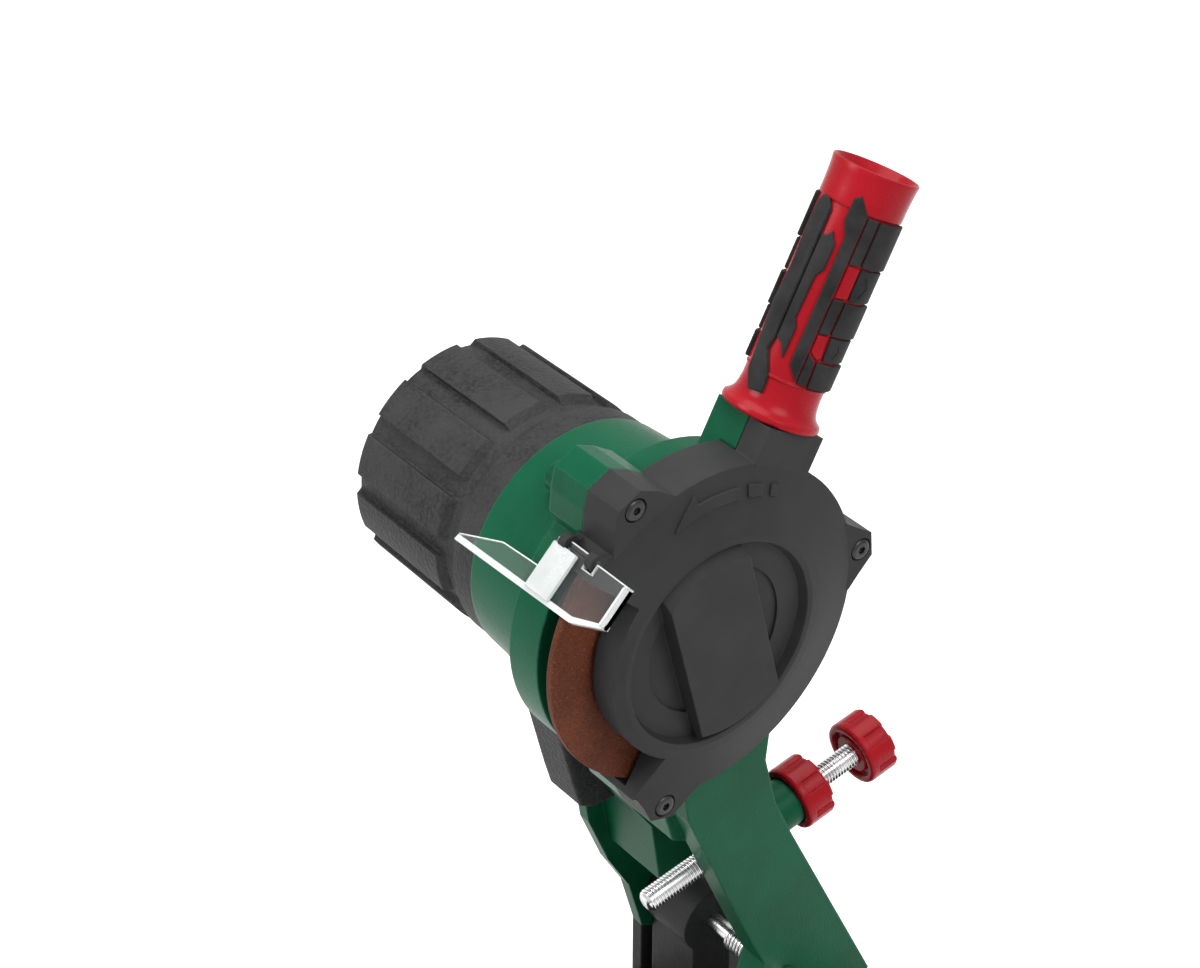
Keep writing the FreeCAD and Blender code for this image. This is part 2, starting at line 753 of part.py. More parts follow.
def sight_shield():
    edge = -shield_width
    outline = [
        (shield_left_x, edge - 1.2), (shield_right_x / 2, edge), (shield_right_x, edge + shield_corner_rise),
        (shield_right_x, 0.0), (shield_hood_left_x, 0.0), (shield_hood_left_x + 0.3, edge + shield_wing_height + 0.8),
        (shield_hood_left_x - 17, edge + shield_wing_height), (shield_left_x, edge + 1.2),
    ]
    corners = [V(x, 0, z) for x, z in outline]
    plate = Part.Face(Part.makePolygon(corners + [corners[0]])).extrude(V(0, shield_thickness, 0))
    plate.translate(V(0, -shield_thickness / 2, 0))
    for x0, x1 in ((-7.9, -4.3), (4.7, 8.4)):
        plate = plate.cut(box(x0, x1, -6, 6, -3.4, 4))
    knuckle = rod_x(shield_knuckle_radius, -4.3, 4.7)
    shield = join([plate, knuckle])
    shield.rotate(V(0, 0, 0), V(1, 0, 0), -45)
    shield.translate(V(0, shield_hinge_y, shield_hinge_z))
    return shield.cut(rod_x(shield_pin_diameter / 2 + running_clearance, -20, 20, shield_hinge_y, shield_hinge_z))


def shield_pin():
    return rod_x(shield_pin_diameter / 2, -7.5, 8.0, shield_hinge_y, shield_hinge_z)


# Depth stop

def stop_place(shape):
    return along(shape, V(stop_x, stop_tip_y, stop_tip_z), V(0, stop_direction_y, stop_direction_z))


def lobed_knob(diameter, start, thickness, bore):
    knob = rod_z(diameter / 2, start, start + thickness)
    for i in range(knob_lobe_count):
        x, y = polar(360.0 * i / knob_lobe_count, diameter / 2 + 1.6)
        knob = knob.cut(rod_z(3.2, start - 1, start + thickness + 1, x, y))
    collar = rod_z(diameter / 2 - 3.4, start - 1.6, start)
    return knob.fuse(collar).cut(rod_z(bore, start - 5, start + thickness + 5))


def depth_screw():
    radius = stop_thread_diameter / 2
    screw = turned_z([(0, 0), (radius - 1.4, 0), (radius, 1.6), (radius, stop_knob_at + 3), (0, stop_knob_at + 3)])
    return stop_place(screw)


def depth_knob():
    start = stop_knob_at - stop_knob_thickness / 2
    cap = rod_z(7.0, start + stop_knob_thickness, start + stop_knob_thickness + 1.6)
    knob = lobed_knob(stop_knob_diameter, start, stop_knob_thickness, stop_thread_diameter / 2)
    plug = rod_z(stop_thread_diameter / 2 + 1, stop_knob_at + 3, start + stop_knob_thickness + 1.6)
    knob = knob.fuse(cap).fuse(plug)
    return stop_place(knob.removeSplitter().cut(rod_z(stop_thread_diameter / 2, 0, stop_knob_at + 3)))


def lock_knob():
    start = stop_boss_end + 1.7
    bore = stop_thread_diameter / 2 + running_clearance
    return stop_place(lobed_knob(stop_knob_diameter, start, stop_knob_thickness, bore).removeSplitter())


# Base, upright and hinge

def rounded_block(x0, x1, y0, y1, z0, z1, radius):
    block = box(x0, x1, y0, y1, z0, z1)
    edges = [e for e in block.Edges if abs(e.Length - (z1 - z0)) < 0.001 and e.tangentAt(e.FirstParameter).z ** 2 > 0.9]
    return block.makeFillet(radius, edges)


stop_pad_y = hinge_y - 71.8
stop_pad_z = hinge_z + 6.3


def base_plate():
    plate = rounded_block(base_left_x, base_right_x, -base_half_length, base_half_length, 0, base_height, base_corner_radius)
    top = [e for e in plate.Edges if abs(e.CenterOfMass.z - base_height) < 0.001]
    plate = plate.makeFillet(2.5, top)
    for sx in (-1, 1):
        for sy in (-1, 1):
            x = bench_hole_centre_x + sx * bench_hole_spacing_x / 2
            y = sy * bench_hole_spacing_y / 2
            plate = plate.cut(rod_z(bench_hole_diameter / 2, -1, base_height + 5, x, y))
    plate = plate.cut(rod_z(pivot_bolt_diameter / 2 + running_clearance, -1, 40, 0, vise_y))
    plate = plate.cut(rod_z(swing_nut_radius + 1, -1, base_recess, 0, vise_y))
    post = prism_x([(stop_pad_y - 12, base_height - 2), (stop_pad_y + 14, base_height - 2),
                    (stop_pad_y + 9, stop_pad_z - 9.6), (stop_pad_y - 6, stop_pad_z + 1.9)], stop_x - 9, stop_x + 9)
    plate = plate.fuse(post)
    for x, y in upright_bolt_places():
        plate = plate.cut(rod_z(upright_bolt_diameter / 2, -1, 40, x, y))
        plate = plate.cut(rod_z(6.0, -1, base_recess, x, y))
    seat = along(rod_z(stop_pad_radius + 0.05, -3.0, 20), V(stop_x, stop_pad_y, stop_pad_z), pad_normal)
    return plate.cut(seat).removeSplitter()


swing_nut_radius = 11.0
upright_bolt_diameter = 5.0


def upright_bolt_places():
    places = []
    for x in (upright_left_x + 6, upright_right_x - 6):
        for y in (hinge_y - 15, hinge_y + 15):
            places.append((x, y))
    return places


pad_normal = V(0, 0.611, 0.791)
stop_pad_radius = 6.0
stop_pad_proud = 1.0


def depth_stop_pad():
    origin = V(stop_x, stop_pad_y, stop_pad_z) - pad_normal * 0.6
    return along(rod_z(stop_pad_radius, -2.4, 0), origin, pad_normal)


def hinge_upright():
    foot = rounded_block(cheek_left_x, upright_right_x + 4, hinge_y - 22, hinge_y + 21, base_height, base_height + 6, 5)
    pieces = [foot]
    for x0, x1, half in ((upright_left_x, upright_right_x, upright_half_depth), (cheek_left_x, cheek_right_x, upright_half_depth)):
        stem = box(x0, x1, hinge_y - half, hinge_y + half, base_height + 4, hinge_z)
        eye = rod_x(upright_top_radius, x0, x1, hinge_y, hinge_z)
        pieces.append(stem)
        pieces.append(eye)
    body = join(pieces)
    body = body.cut(rod_x(axle_diameter / 2, -100, 20, hinge_y, hinge_z))
    for x, y in upright_bolt_places():
        body = body.cut(rod_z(upright_bolt_diameter / 2, 0, base_height + 20, x, y))
    return body.removeSplitter()


def upright_bolts():
    bolts = []
    for x, y in upright_bolt_places():
        shank = rod_z(upright_bolt_diameter / 2, 1.0, base_height + 6, x, y)
        head = hexagon_z(8.0, base_height + 6, base_height + 9.5, x, y)
        nut = hexagon_z(8.0, 1.0, base_recess, x, y)
        bolts.append(join([shank, head, nut]))
    return Part.makeCompound(bolts)


def hinge_axle():
    axle = rod_x(axle_diameter / 2, cheek_left_x - 8, beam_right_x + 8, hinge_y, hinge_z)
    head = rod_x(axle_diameter / 2 + 2.5, beam_right_x + 0.3, beam_right_x + 4, hinge_y, hinge_z)
    return axle.fuse(head).removeSplitter()


def axle_nut():
    x0 = cheek_left_x - axle_nut_height
    nut = hexagon_x(axle_nut_across, x0, cheek_left_x, hinge_y, hinge_z)
    return nut.cut(rod_x(axle_diameter / 2, -120, 20, hinge_y, hinge_z))


def spring_point(turn):
    """Point and tangent of the coil's centre line after so many turns."""
    radius = spring_coil_diameter / 2
    pitch = spring_length / spring_turn_count
    a = 2 * math.pi * turn
    point = V(radius * math.cos(a), radius * math.sin(a), pitch * turn)
    tangent = V(-radius * math.sin(a), radius * math.cos(a), pitch / (2 * math.pi))
    tangent.normalize()
    return point, tangent


def tangent_arc(start, corner, end):
    """Arc from start to end that is tangent to both legs of the corner."""
    middle = (start + end) * 0.5
    half_chord = (end - start).Length / 2
    to_corner = corner - middle
    lean = math.atan2(to_corner.Length, half_chord)
    to_corner.normalize()
    return Part.Arc(start, middle + to_corner * (half_chord * math.tan(lean / 2)), end).toShape()


def coil_path():
    """The coil as two tangent arcs for each quarter turn."""
    edges = []
    for i in range(4 * spring_turn_count):
        p0, t0 = spring_point(i / 4.0)
        p1, t1 = spring_point((i + 1) / 4.0)
        chord = p1 - p0
        along_both = chord.dot(t0 + t1)
        spread = 2 * (1 - t0.dot(t1))
        reach = (math.sqrt(along_both ** 2 + spread * chord.dot(chord)) - along_both) / spread
        c0 = p0 + t0 * reach
        c1 = p1 - t1 * reach
        joint = (c0 + c1) * 0.5
        edges.append(tangent_arc(p0, c0, joint))
        edges.append(tangent_arc(joint, c1, p1))
    return Part.Wire(edges)


def least_self_gap():
    """Least distance between the wire's surfaces, on points of the centre line."""
    points = [spring_point(i / 24.0)[0] for i in range(24 * spring_turn_count + 1)]
    gap = 1000.0
    for i, first in enumerate(points):
        for second in points[i + 12:]:
            gap = min(gap, (second - first).Length)
    return gap - spring_wire_diameter


def return_spring():
    """Torsion spring round the axle: one tube along its coil."""
    start, heading = spring_point(0)
    ring = Part.Wire(Part.makeCircle(spring_wire_diameter / 2, start, heading))
    tube = coil_path().makePipeShell([ring], True, False)
    print("spring least gap to itself", round(least_self_gap(), 3))
    return along(tube, V(beam_inner_x - spring_length - 2.2, hinge_y, hinge_z), V(1, 0, 0))


# Turntable and vise

def turntable():
    z0 = base_height
    plate = rod_z(turntable_diameter / 2, z0, z0 + turntable_height, 0, vise_y)
    rim = [e for e in plate.Edges if abs(e.CenterOfMass.z - z0 - turntable_height) < 0.001]
    plate = plate.makeChamfer(1.2, rim)
    pointer = prism_z([(-3.5, vise_y - turntable_diameter / 2 + 2), (3.5, vise_y - turntable_diameter / 2 + 2),
                       (0, vise_y - turntable_diameter / 2 - 7)], z0 + 4, z0 + 6)
    column = box(-22, 22, vise_y - 12, vise_y + 12, z0 + turntable_height, jaw_top_z - jaw_height)
    fixed = box(-jaw_length / 2, jaw_length / 2, vise_y + jaw_gap / 2, vise_y + jaw_gap / 2 + jaw_thickness,
                jaw_top_z - jaw_height - 8, jaw_top_z)
    shelf = box(-22, 22, vise_y - 26, vise_y + 12, jaw_top_z - jaw_height - 8, jaw_top_z - jaw_height)
    front = box(-14, 14, vise_y - 26, vise_y - 20, jaw_top_z - jaw_height, jaw_top_z - 4)
    body = join([plate, pointer, column, fixed, shelf, front])
    body = body.cut(rod_z(pivot_bolt_diameter / 2, 0, z0 + turntable_height, 0, vise_y))
    body = body.cut(rod_z(8.0, z0 + turntable_height - 0.01, z0 + turntable_height + 5.2, 0, vise_y))
    for x in (-9, 9):
        body = body.cut(rod_y(guide_pin_diameter / 2, vise_y - 40, vise_y + jaw_gap / 2 + 5, x, jaw_top_z - 15))
    body = body.cut(rod_y(clamp_screw_diameter / 2 + running_clearance, vise_y - 60, vise_y - 15, 0, jaw_top_z - 11))
    return body.removeSplitter()


def pivot_bolt():
    z0 = base_height + turntable_height
    shank = rod_z(pivot_bolt_diameter / 2, 1.0, z0, 0, vise_y)
    head = hexagon_z(13.0, z0, z0 + 5, 0, vise_y)
    return join([shank, head])


def swing_lock_nut():
    nut = rod_z(swing_nut_radius, 1.0, base_recess, 0, vise_y)
    return nut.cut(rod_z(pivot_bolt_diameter / 2, 0, 10, 0, vise_y))


def moving_jaw():
    y1 = vise_y - jaw_gap / 2
    jaw = box(-jaw_length / 2, jaw_length / 2, y1 - jaw_thickness, y1, jaw_top_z - jaw_height + 0.3, jaw_top_z)
    for x in (-9, 9):
        jaw = jaw.cut(rod_y(guide_pin_diameter / 2 + running_clearance, vise_y - 40, vise_y + 10, x, jaw_top_z - 15))
    nose = rod_y(2.6, y1 - jaw_thickness - 1, y1 - 4, 0, jaw_top_z - 11)
    return jaw.cut(nose)


def jaw_guide_pins():
    pins = []
    for x in (-9, 9):
        pins.append(rod_y(guide_pin_diameter / 2, vise_y - 26, vise_y + jaw_gap / 2 + 5, x, jaw_top_z - 15))
    return Part.makeCompound(pins)


def clamp_screw():
    y1 = vise_y - jaw_gap / 2 - jaw_thickness
    shank = rod_y(clamp_screw_diameter / 2, y1 - clamp_screw_length, y1, 0, jaw_top_z - 11)
    nose = rod_y(2.5, y1, y1 + 3.8, 0, jaw_top_z - 11)
    head = rod_y(7.0, y1 - clamp_screw_length - 10, y1 - clamp_screw_length, 0, jaw_top_z - 11)
    body = join([shank, nose, head])
    cross = rod_x(clamp_bar_diameter / 2, -20, 20, y1 - clamp_screw_length - 5, jaw_top_z - 11)
    return body.cut(cross)


def clamp_bar():
    """Sliding cross bar with a turned ball at each end, one revolved profile."""
    half = clamp_bar_length / 2
    slim = clamp_bar_diameter / 2
    ball = [(half - 4, slim), (half - 3, 3.6), (half - 1, 4.3), (half + 1, 4.3), (half + 3, 3.2), (half + 4, 1.6)]
    outline = [(-x, r) for x, r in reversed(ball)] + ball
    bar = turned_x([(-half - 4, 0)] + outline + [(half + 4, 0)])
    bar.translate(V(0, vise_y - jaw_gap / 2 - jaw_thickness - clamp_screw_length - 5, jaw_top_z - 11))
    return bar


# Chain stop on the fixed jaw's side

stop_screw_z = jaw_top_z - 14.0
pawl_pivot_z = jaw_top_z - 1.0


def chain_stop_bracket():
    y0 = vise_y + jaw_gap / 2 + jaw_thickness
    plate = box(13, stop_plate_x + 4, y0, y0 + 4, jaw_top_z - 22, jaw_top_z - 8)
    end = box(stop_plate_x, stop_plate_x + 4, vise_y - 7, y0 + 4, jaw_top_z - 22, jaw_top_z - 8)
    body = join([plate, end])
    return body.cut(rod_x(stop_screw_diameter / 2 + running_clearance, 40, 70, vise_y, stop_screw_z))


def chain_stop_carrier():
    x0 = stop_carrier_x - 5
    x1 = stop_carrier_x + 5
    body = box(x0, x1, vise_y - 7, vise_y + 7, jaw_top_z - 22, jaw_top_z - 5)
    for side in (-1, 1):
        y = vise_y + side * 5.15
        ear = box(x0, x1, y - 1.85, y + 1.85, jaw_top_z - 6, pawl_pivot_z)
        body = body.fuse(ear).fuse(rod_y(5.0, y - 1.85, y + 1.85, stop_carrier_x, pawl_pivot_z))
    body = body.cut(rod_x(stop_screw_diameter / 2 + running_clearance, 20, 70, vise_y, stop_screw_z))
    return body.cut(rod_y(pawl_pin_diameter / 2, vise_y - 20, vise_y + 20, stop_carrier_x, pawl_pivot_z)).removeSplitter()


def pawl_pin():
    return rod_y(pawl_pin_diameter / 2, vise_y - 7.6, vise_y + 7.6, stop_carrier_x, pawl_pivot_z)


def chain_stop_pawl():
    top = jaw_top_z + 5.4
    low = jaw_top_z + 0.7
    x = stop_carrier_x
    profile = [(x, pawl_pivot_z - 3.6), (x - 5, low), (11.0, low + 1.4), (7.0, low), (5.0, low),
               (6.4, top - 1.4), (9.0, top), (x - 7, top), (x, pawl_pivot_z + 3.6)]
    corners = [V(px, vise_y - 3.0, pz) for px, pz in profile]
    arm = Part.Face(Part.makePolygon(corners + [corners[0]])).extrude(V(0, 6.0, 0))
    eye = rod_y(3.8, vise_y - 3.0, vise_y + 3.0, x, pawl_pivot_z)
    body = arm.fuse(eye).removeSplitter()
    return body.cut(rod_y(pawl_pin_diameter / 2 + running_clearance, vise_y - 20, vise_y + 20, x, pawl_pivot_z))


def chain_stop_screw():
    shank = rod_x(stop_screw_diameter / 2, 31, stop_plate_x + 12, vise_y, stop_screw_z)
    collar = rod_x(4.2, stop_plate_x + 4.2, stop_plate_x + 6, vise_y, stop_screw_z)
    clip = rod_x(4.0, stop_plate_x - 1.4, stop_plate_x - 0.2, vise_y, stop_screw_z)
    return join([shank, collar, clip])


def chain_stop_knob():
    x0 = stop_plate_x + 6
    knob = rod_x(8.0, x0, x0 + 9, vise_y, stop_screw_z)
    for i in range(8):
        y, z = polar(45 * i, 8.6)
        knob = knob.cut(rod_x(1.6, x0 - 1, x0 + 10, vise_y + y, stop_screw_z + z))
    return knob.cut(rod_x(stop_screw_diameter / 2, x0 - 1, stop_plate_x + 12, vise_y, stop_screw_z))


def main():
    os.makedirs("parts", exist_ok=True)
    save("grinding_disc", on_head(grinding_disc()))
    save("disc_inner_flange", on_head(inner_flange()))
    save("disc_clamp_nut", on_head(clamp_nut()))
    save("spindle_shaft", on_head(spindle_shaft()))
    save("rotor", on_head(rotor_core()))
    save("cooling_fan", on_head(cooling_fan()))
    save("guard_cover", on_head(guard_cover()))
    save("cover_screws", on_head(cover_screws()))
    save("gear_housing", on_head(gear_housing()))
    save("ball_bearings", on_head(ball_bearings()))
    save("motor_cover", on_head(motor_cover()))
    save("motor_stator", on_head(motor_stator()))
    save("field_windings", on_head(field_windings()))
    save("carbon_brushes", on_head(carbon_brushes()))
    save("control_housing", on_head(control_housing()))
    save("switch_body", on_head(switch_body()))
    save("switch_rocker", on_head(switch_rocker()))
    save("cable_gland", on_head(cable_gland()))
    save("handle_core", on_head(handle_core()))
    save("handle_grips", on_head(handle_grips()))
    save("handle_stud", on_head(handle_stud()))
    save("sight_shield", on_head(sight_shield()))
    save("shield_pin", on_head(shield_pin()))
    save("depth_screw", on_head(depth_screw()))
    save("depth_knob", on_head(depth_knob()))
    save("depth_lock_knob", on_head(lock_knob()))
    save("base_plate", base_plate())
    save("depth_stop_pad", depth_stop_pad())
    save("hinge_upright", hinge_upright())
    save("upright_bolts", upright_bolts())
    save("hinge_axle", hinge_axle())
    save("axle_nut", axle_nut())
    save("return_spring", return_spring())
    save("turntable", turntable())
    save("turntable_bolt", pivot_bolt())
    save("turntable_lock_nut", swing_lock_nut())
    save("moving_jaw", moving_jaw())
    save("jaw_guide_pins", jaw_guide_pins())
    save("clamp_screw", clamp_screw())
    save("clamp_bar", clamp_bar())
    save("chain_stop_bracket", chain_stop_bracket())
    save("chain_stop_carrier", chain_stop_carrier())
    save("chain_stop_pawl", chain_stop_pawl())
    save("pawl_pin", pawl_pin())
    save("chain_stop_screw", chain_stop_screw())
    save("chain_stop_knob", chain_stop_knob())


main()
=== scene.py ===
import math

import bmesh
import bpy
from mathutils import Matrix, Vector


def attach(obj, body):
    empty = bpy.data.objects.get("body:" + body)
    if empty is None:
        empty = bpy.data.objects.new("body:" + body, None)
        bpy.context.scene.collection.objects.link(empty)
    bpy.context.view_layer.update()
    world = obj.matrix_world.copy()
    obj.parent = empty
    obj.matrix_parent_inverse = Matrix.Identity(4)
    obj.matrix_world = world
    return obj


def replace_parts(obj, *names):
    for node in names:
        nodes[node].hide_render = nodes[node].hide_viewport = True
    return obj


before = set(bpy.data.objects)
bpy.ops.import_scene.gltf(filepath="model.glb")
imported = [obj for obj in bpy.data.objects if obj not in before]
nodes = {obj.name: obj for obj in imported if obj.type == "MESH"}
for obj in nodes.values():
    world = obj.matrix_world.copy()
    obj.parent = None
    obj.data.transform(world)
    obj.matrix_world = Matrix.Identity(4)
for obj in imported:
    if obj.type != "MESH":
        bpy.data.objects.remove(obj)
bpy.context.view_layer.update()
print("frame loaded with", len(nodes), "nodes")

discCentre = Vector((0.0, 0.027, 0.230))


# small helpers for meshes and for material nodes

def meshPiece(name, verts, faces, smooth=False):
    mesh = bpy.data.meshes.new(name)
    mesh.from_pydata([tuple(v) for v in verts], [], faces)
    mesh.update()
    piece = bpy.data.objects.new(name, mesh)
    bpy.context.scene.collection.objects.link(piece)
    for polygon in mesh.polygons:
        polygon.use_smooth = smooth
    return piece


def fixNormals(piece):
    work = bmesh.new()
    work.from_mesh(piece.data)
    bmesh.ops.recalc_face_normals(work, faces=work.faces)
    work.to_mesh(piece.data)
    work.free()


def pieceFrom(name, work, materials, body):
    mesh = bpy.data.meshes.new(name)
    work.to_mesh(mesh)
    work.free()
    piece = bpy.data.objects.new(name, mesh)
    bpy.context.scene.collection.objects.link(piece)
    for material in materials:
        mesh.materials.append(material)
    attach(piece, body)
    return piece


def addPrism(work, outline, low, high):
    # outline in the x-z plane, low and high along y; returns the faces of its sides
    front = [work.verts.new((x / 1000, low, z / 1000)) for x, z in outline]
    back = [work.verts.new((x / 1000, high, z / 1000)) for x, z in outline]
    count = len(outline)
    work.faces.new(front)
    work.faces.new(list(reversed(back)))
    return [work.faces.new((front[i], back[i], back[(i + 1) % count], front[(i + 1) % count]))
            for i in range(count)]


def node(tree, kind, settings, values):
    made = tree.nodes.new(kind)
    for key, value in settings.items():
        setattr(made, key, value)
    for key, value in values.items():
        if isinstance(value, bpy.types.NodeSocket):
            tree.links.new(value, made.inputs[key])
        else:
            made.inputs[key].default_value = value
    return made


def noise(tree, place, size, detail=3.0, roughness=0.55):
    made = node(tree, "ShaderNodeTexNoise", {}, {
        "Vector": place, "Scale": 1.0 / size, "Detail": detail, "Roughness": roughness})
    return made.outputs["Fac"]


def spread(tree, value, low, high, toLow, toHigh):
    made = node(tree, "ShaderNodeMapRange", {}, {
        "Value": value, "From Min": low, "From Max": high, "To Min": toLow, "To Max": toHigh})
    return made.outputs["Result"]


def blendColours(tree, factor, first, second):
    made = node(tree, "ShaderNodeMix", {"data_type": "RGBA"}, {"Factor": factor})
    for socket, value in ((made.inputs[6], first), (made.inputs[7], second)):
        if isinstance(value, bpy.types.NodeSocket):
            tree.links.new(value, socket)
        else:
            socket.default_value = (*value, 1.0)
    return made.outputs[2]


def maths(tree, operation, first, second=0.0):
    return node(tree, "ShaderNodeMath", {"operation": operation}, {0: first, 1: second}).outputs[0]


# one finish: colour that drifts a little, worn edges, grain and rounded arrises

def makeFinish(name, look):
    material = bpy.data.materials.new(name)
    material.use_nodes = True
    tree = material.node_tree
    tree.nodes.clear()
    out = tree.nodes.new("ShaderNodeOutputMaterial")
    shader = tree.nodes.new("ShaderNodeBsdfPrincipled")
    tree.links.new(shader.outputs[0], out.inputs[0])
    place = tree.nodes.new("ShaderNodeTexCoord").outputs["Object"]
    arris = node(tree, "ShaderNodeBevel", {"samples": 4}, {"Radius": look["arris"]}).outputs[0]
    flat = tree.nodes.new("ShaderNodeNewGeometry").outputs["Normal"]
    facing = node(tree, "ShaderNodeVectorMath", {"operation": "DOT_PRODUCT"},
                  {0: arris, 1: flat}).outputs["Value"]
    patches = noise(tree, place, look["patch"], 4.0)
    fine = noise(tree, place, look["grain"], 2.0, 0.6)
    wear = spread(tree, facing, 0.985, 0.80, 0.0, look["wear"])
    broken = spread(tree, noise(tree, place, 0.004, 3.0), 0.35, 0.65, 0.35, 1.0)
    wear = maths(tree, "MULTIPLY", wear, broken)
    body = blendColours(tree, spread(tree, patches, 0.35, 0.65, 0.0, 1.0), look["dark"], look["light"])
    speckle = spread(tree, fine, 0.3, 0.7, 0.0, look.get("speckle", 0.25))
    body = blendColours(tree, speckle, body, look["light"])
    body = blendColours(tree, wear, body, look["edge"])
    tree.links.new(body, shader.inputs["Base Color"])
    rough = maths(tree, "ADD",
                  spread(tree, patches, 0.3, 0.7, look["rough"] - 0.05, look["rough"] + 0.05),
                  spread(tree, fine, 0.3, 0.7, -0.04, 0.04))
    tree.links.new(rough, shader.inputs["Roughness"])
    height = fine
    if "turned" in look:
        height = turnedMarks(tree, place, look["turned"], fine)
    bump = node(tree, "ShaderNodeBump", {}, {
        "Strength": look["bump"], "Distance": look["grain"] * 0.5, "Height": height, "Normal": arris})
    tree.links.new(bump.outputs[0], shader.inputs["Normal"])
    shader.inputs["Metallic"].default_value = look.get("metal", 0.0)
    shader.inputs["IOR"].default_value = look.get("ior", 1.40)
    shader.inputs["Specular IOR Level"].default_value = look.get("gloss", 0.5)
    return material


def turnedMarks(tree, place, axis, fine):
    # fine lines left by the lathe or the brush, along one axis
    stretch = {"x": (30.0, 1.0, 1.0), "y": (1.0, 30.0, 1.0), "z": (1.0, 1.0, 30.0)}[axis]
    drawn = node(tree, "ShaderNodeMapping", {},
                 {"Vector": place, "Scale": tuple(s * 0.15 for s in stretch)}).outputs[0]
    lines = noise(tree, drawn, 0.0012, 2.0)
    return maths(tree, "ADD", maths(tree, "MULTIPLY", lines, 0.7), maths(tree, "MULTIPLY", fine, 0.3))


def dress(material, *names):
    for name in names:
        for slot in nodes[name].material_slots:
            slot.material = material


coverLook = {"dark": (0.026, 0.026, 0.027), "light": (0.036, 0.036, 0.037), "edge": (0.11, 0.11, 0.11),
             "gloss": 0.10, "rough": 0.50, "patch": 0.03, "grain": 0.0005, "bump": 0.10,
             "arris": 0.0007, "wear": 0.40}
motorLook = {"dark": (0.008, 0.008, 0.009), "light": (0.040, 0.040, 0.041),
             "edge": (0.100, 0.100, 0.100), "gloss": 0.14, "rough": 0.55, "patch": 0.02,
             "grain": 0.0014, "bump": 1.0, "arris": 0.0009, "wear": 0.55, "speckle": 1.0}
greenLook = {"dark": (0.0010, 0.060, 0.026), "light": (0.0030, 0.085, 0.038),
             "edge": (0.07, 0.26, 0.16), "gloss": 0.12, "rough": 0.36, "patch": 0.04, "grain": 0.0011,
             "bump": 0.16, "arris": 0.0012, "wear": 0.35}
redLook = {"dark": (0.28, 0.005, 0.010), "light": (0.35, 0.007, 0.014), "edge": (0.60, 0.05, 0.05),
           "gloss": 0.16, "rough": 0.26, "patch": 0.03, "grain": 0.0006, "bump": 0.03, "arris": 0.0007,
           "wear": 0.20}
rubberLook = {"dark": (0.014, 0.014, 0.015), "light": (0.032, 0.032, 0.032),
              "edge": (0.085, 0.085, 0.085), "gloss": 0.10, "rough": 0.60, "patch": 0.012,
              "grain": 0.0004, "bump": 0.22, "arris": 0.0006, "wear": 0.4}
zincLook = {"dark": (0.60, 0.60, 0.61), "light": (0.74, 0.74, 0.74), "edge": (0.85, 0.85, 0.85),
            "rough": 0.24, "patch": 0.01, "grain": 0.0003, "bump": 0.10, "arris": 0.0003, "wear": 0.4,
            "metal": 1.0}
blackSteelLook = {"dark": (0.020, 0.020, 0.021), "light": (0.040, 0.039, 0.038),
                  "edge": (0.22, 0.21, 0.20), "rough": 0.34, "patch": 0.006, "grain": 0.0003,
                  "bump": 0.08, "arris": 0.0003, "wear": 0.45, "metal": 0.6}
castingLook = {"dark": (0.020, 0.020, 0.021), "light": (0.036, 0.036, 0.037),
               "edge": (0.12, 0.12, 0.12), "gloss": 0.12, "rough": 0.48, "patch": 0.03, "grain": 0.0010,
               "bump": 0.30, "arris": 0.0012, "wear": 0.35}
copperLook = {"dark": (0.42, 0.16, 0.06), "light": (0.62, 0.27, 0.12), "edge": (0.70, 0.40, 0.22),
              "rough": 0.30, "patch": 0.01, "grain": 0.0004, "bump": 0.7, "arris": 0.0006, "wear": 0.3,
              "metal": 0.9, "turned": "x"}
coreLook = {"dark": (0.20, 0.20, 0.21), "light": (0.34, 0.34, 0.35), "edge": (0.45, 0.45, 0.45),
            "rough": 0.42, "patch": 0.01, "grain": 0.0005, "bump": 0.5, "arris": 0.0004, "wear": 0.3,
            "metal": 1.0, "turned": "x"}
nylonLook = {"dark": (0.62, 0.60, 0.54), "light": (0.72, 0.70, 0.65), "edge": (0.78, 0.77, 0.73),
             "rough": 0.45, "patch": 0.03, "grain": 0.0005, "bump": 0.08, "arris": 0.0006, "wear": 0.3}
carbonLook = {"dark": (0.030, 0.029, 0.028), "light": (0.070, 0.068, 0.066), "edge": (0.14, 0.14, 0.14),
              "rough": 0.50, "patch": 0.004, "grain": 0.0004, "bump": 0.25, "arris": 0.0004,
              "wear": 0.3}

coverPlastic = makeFinish("coverPlastic", coverLook)
motorPlastic = makeFinish("motorPlastic", motorLook)
greenPaint = makeFinish("greenPaint", greenLook)
redPlastic = makeFinish("redPlastic", redLook)
gripRubber = makeFinish("gripRubber", rubberLook)
zincSteel = makeFinish("zincSteel", zincLook)
threadSteel = makeFinish("threadSteel", dict(zincLook, dark=(0.50, 0.50, 0.51),
                                             light=(0.66, 0.66, 0.66), rough=0.16, bump=0.0,
                                             arris=0.00005))
turnedSteelX = makeFinish("turnedSteelX", dict(zincLook, turned="x", bump=0.25))
turnedSteelY = makeFinish("turnedSteelY", dict(zincLook, turned="y", bump=0.25))
groundSteelX = makeFinish("groundSteelX", dict(zincLook, turned="z", bump=0.2, rough=0.30))
blackSteel = makeFinish("blackSteel", blackSteelLook)
blackCasting = makeFinish("blackCasting", castingLook)
windingCopper = makeFinish("windingCopper", copperLook)
coreSteel = makeFinish("coreSteel", coreLook)
fanNylon = makeFinish("fanNylon", nylonLook)
brushCarbon = makeFinish("brushCarbon", carbonLook)

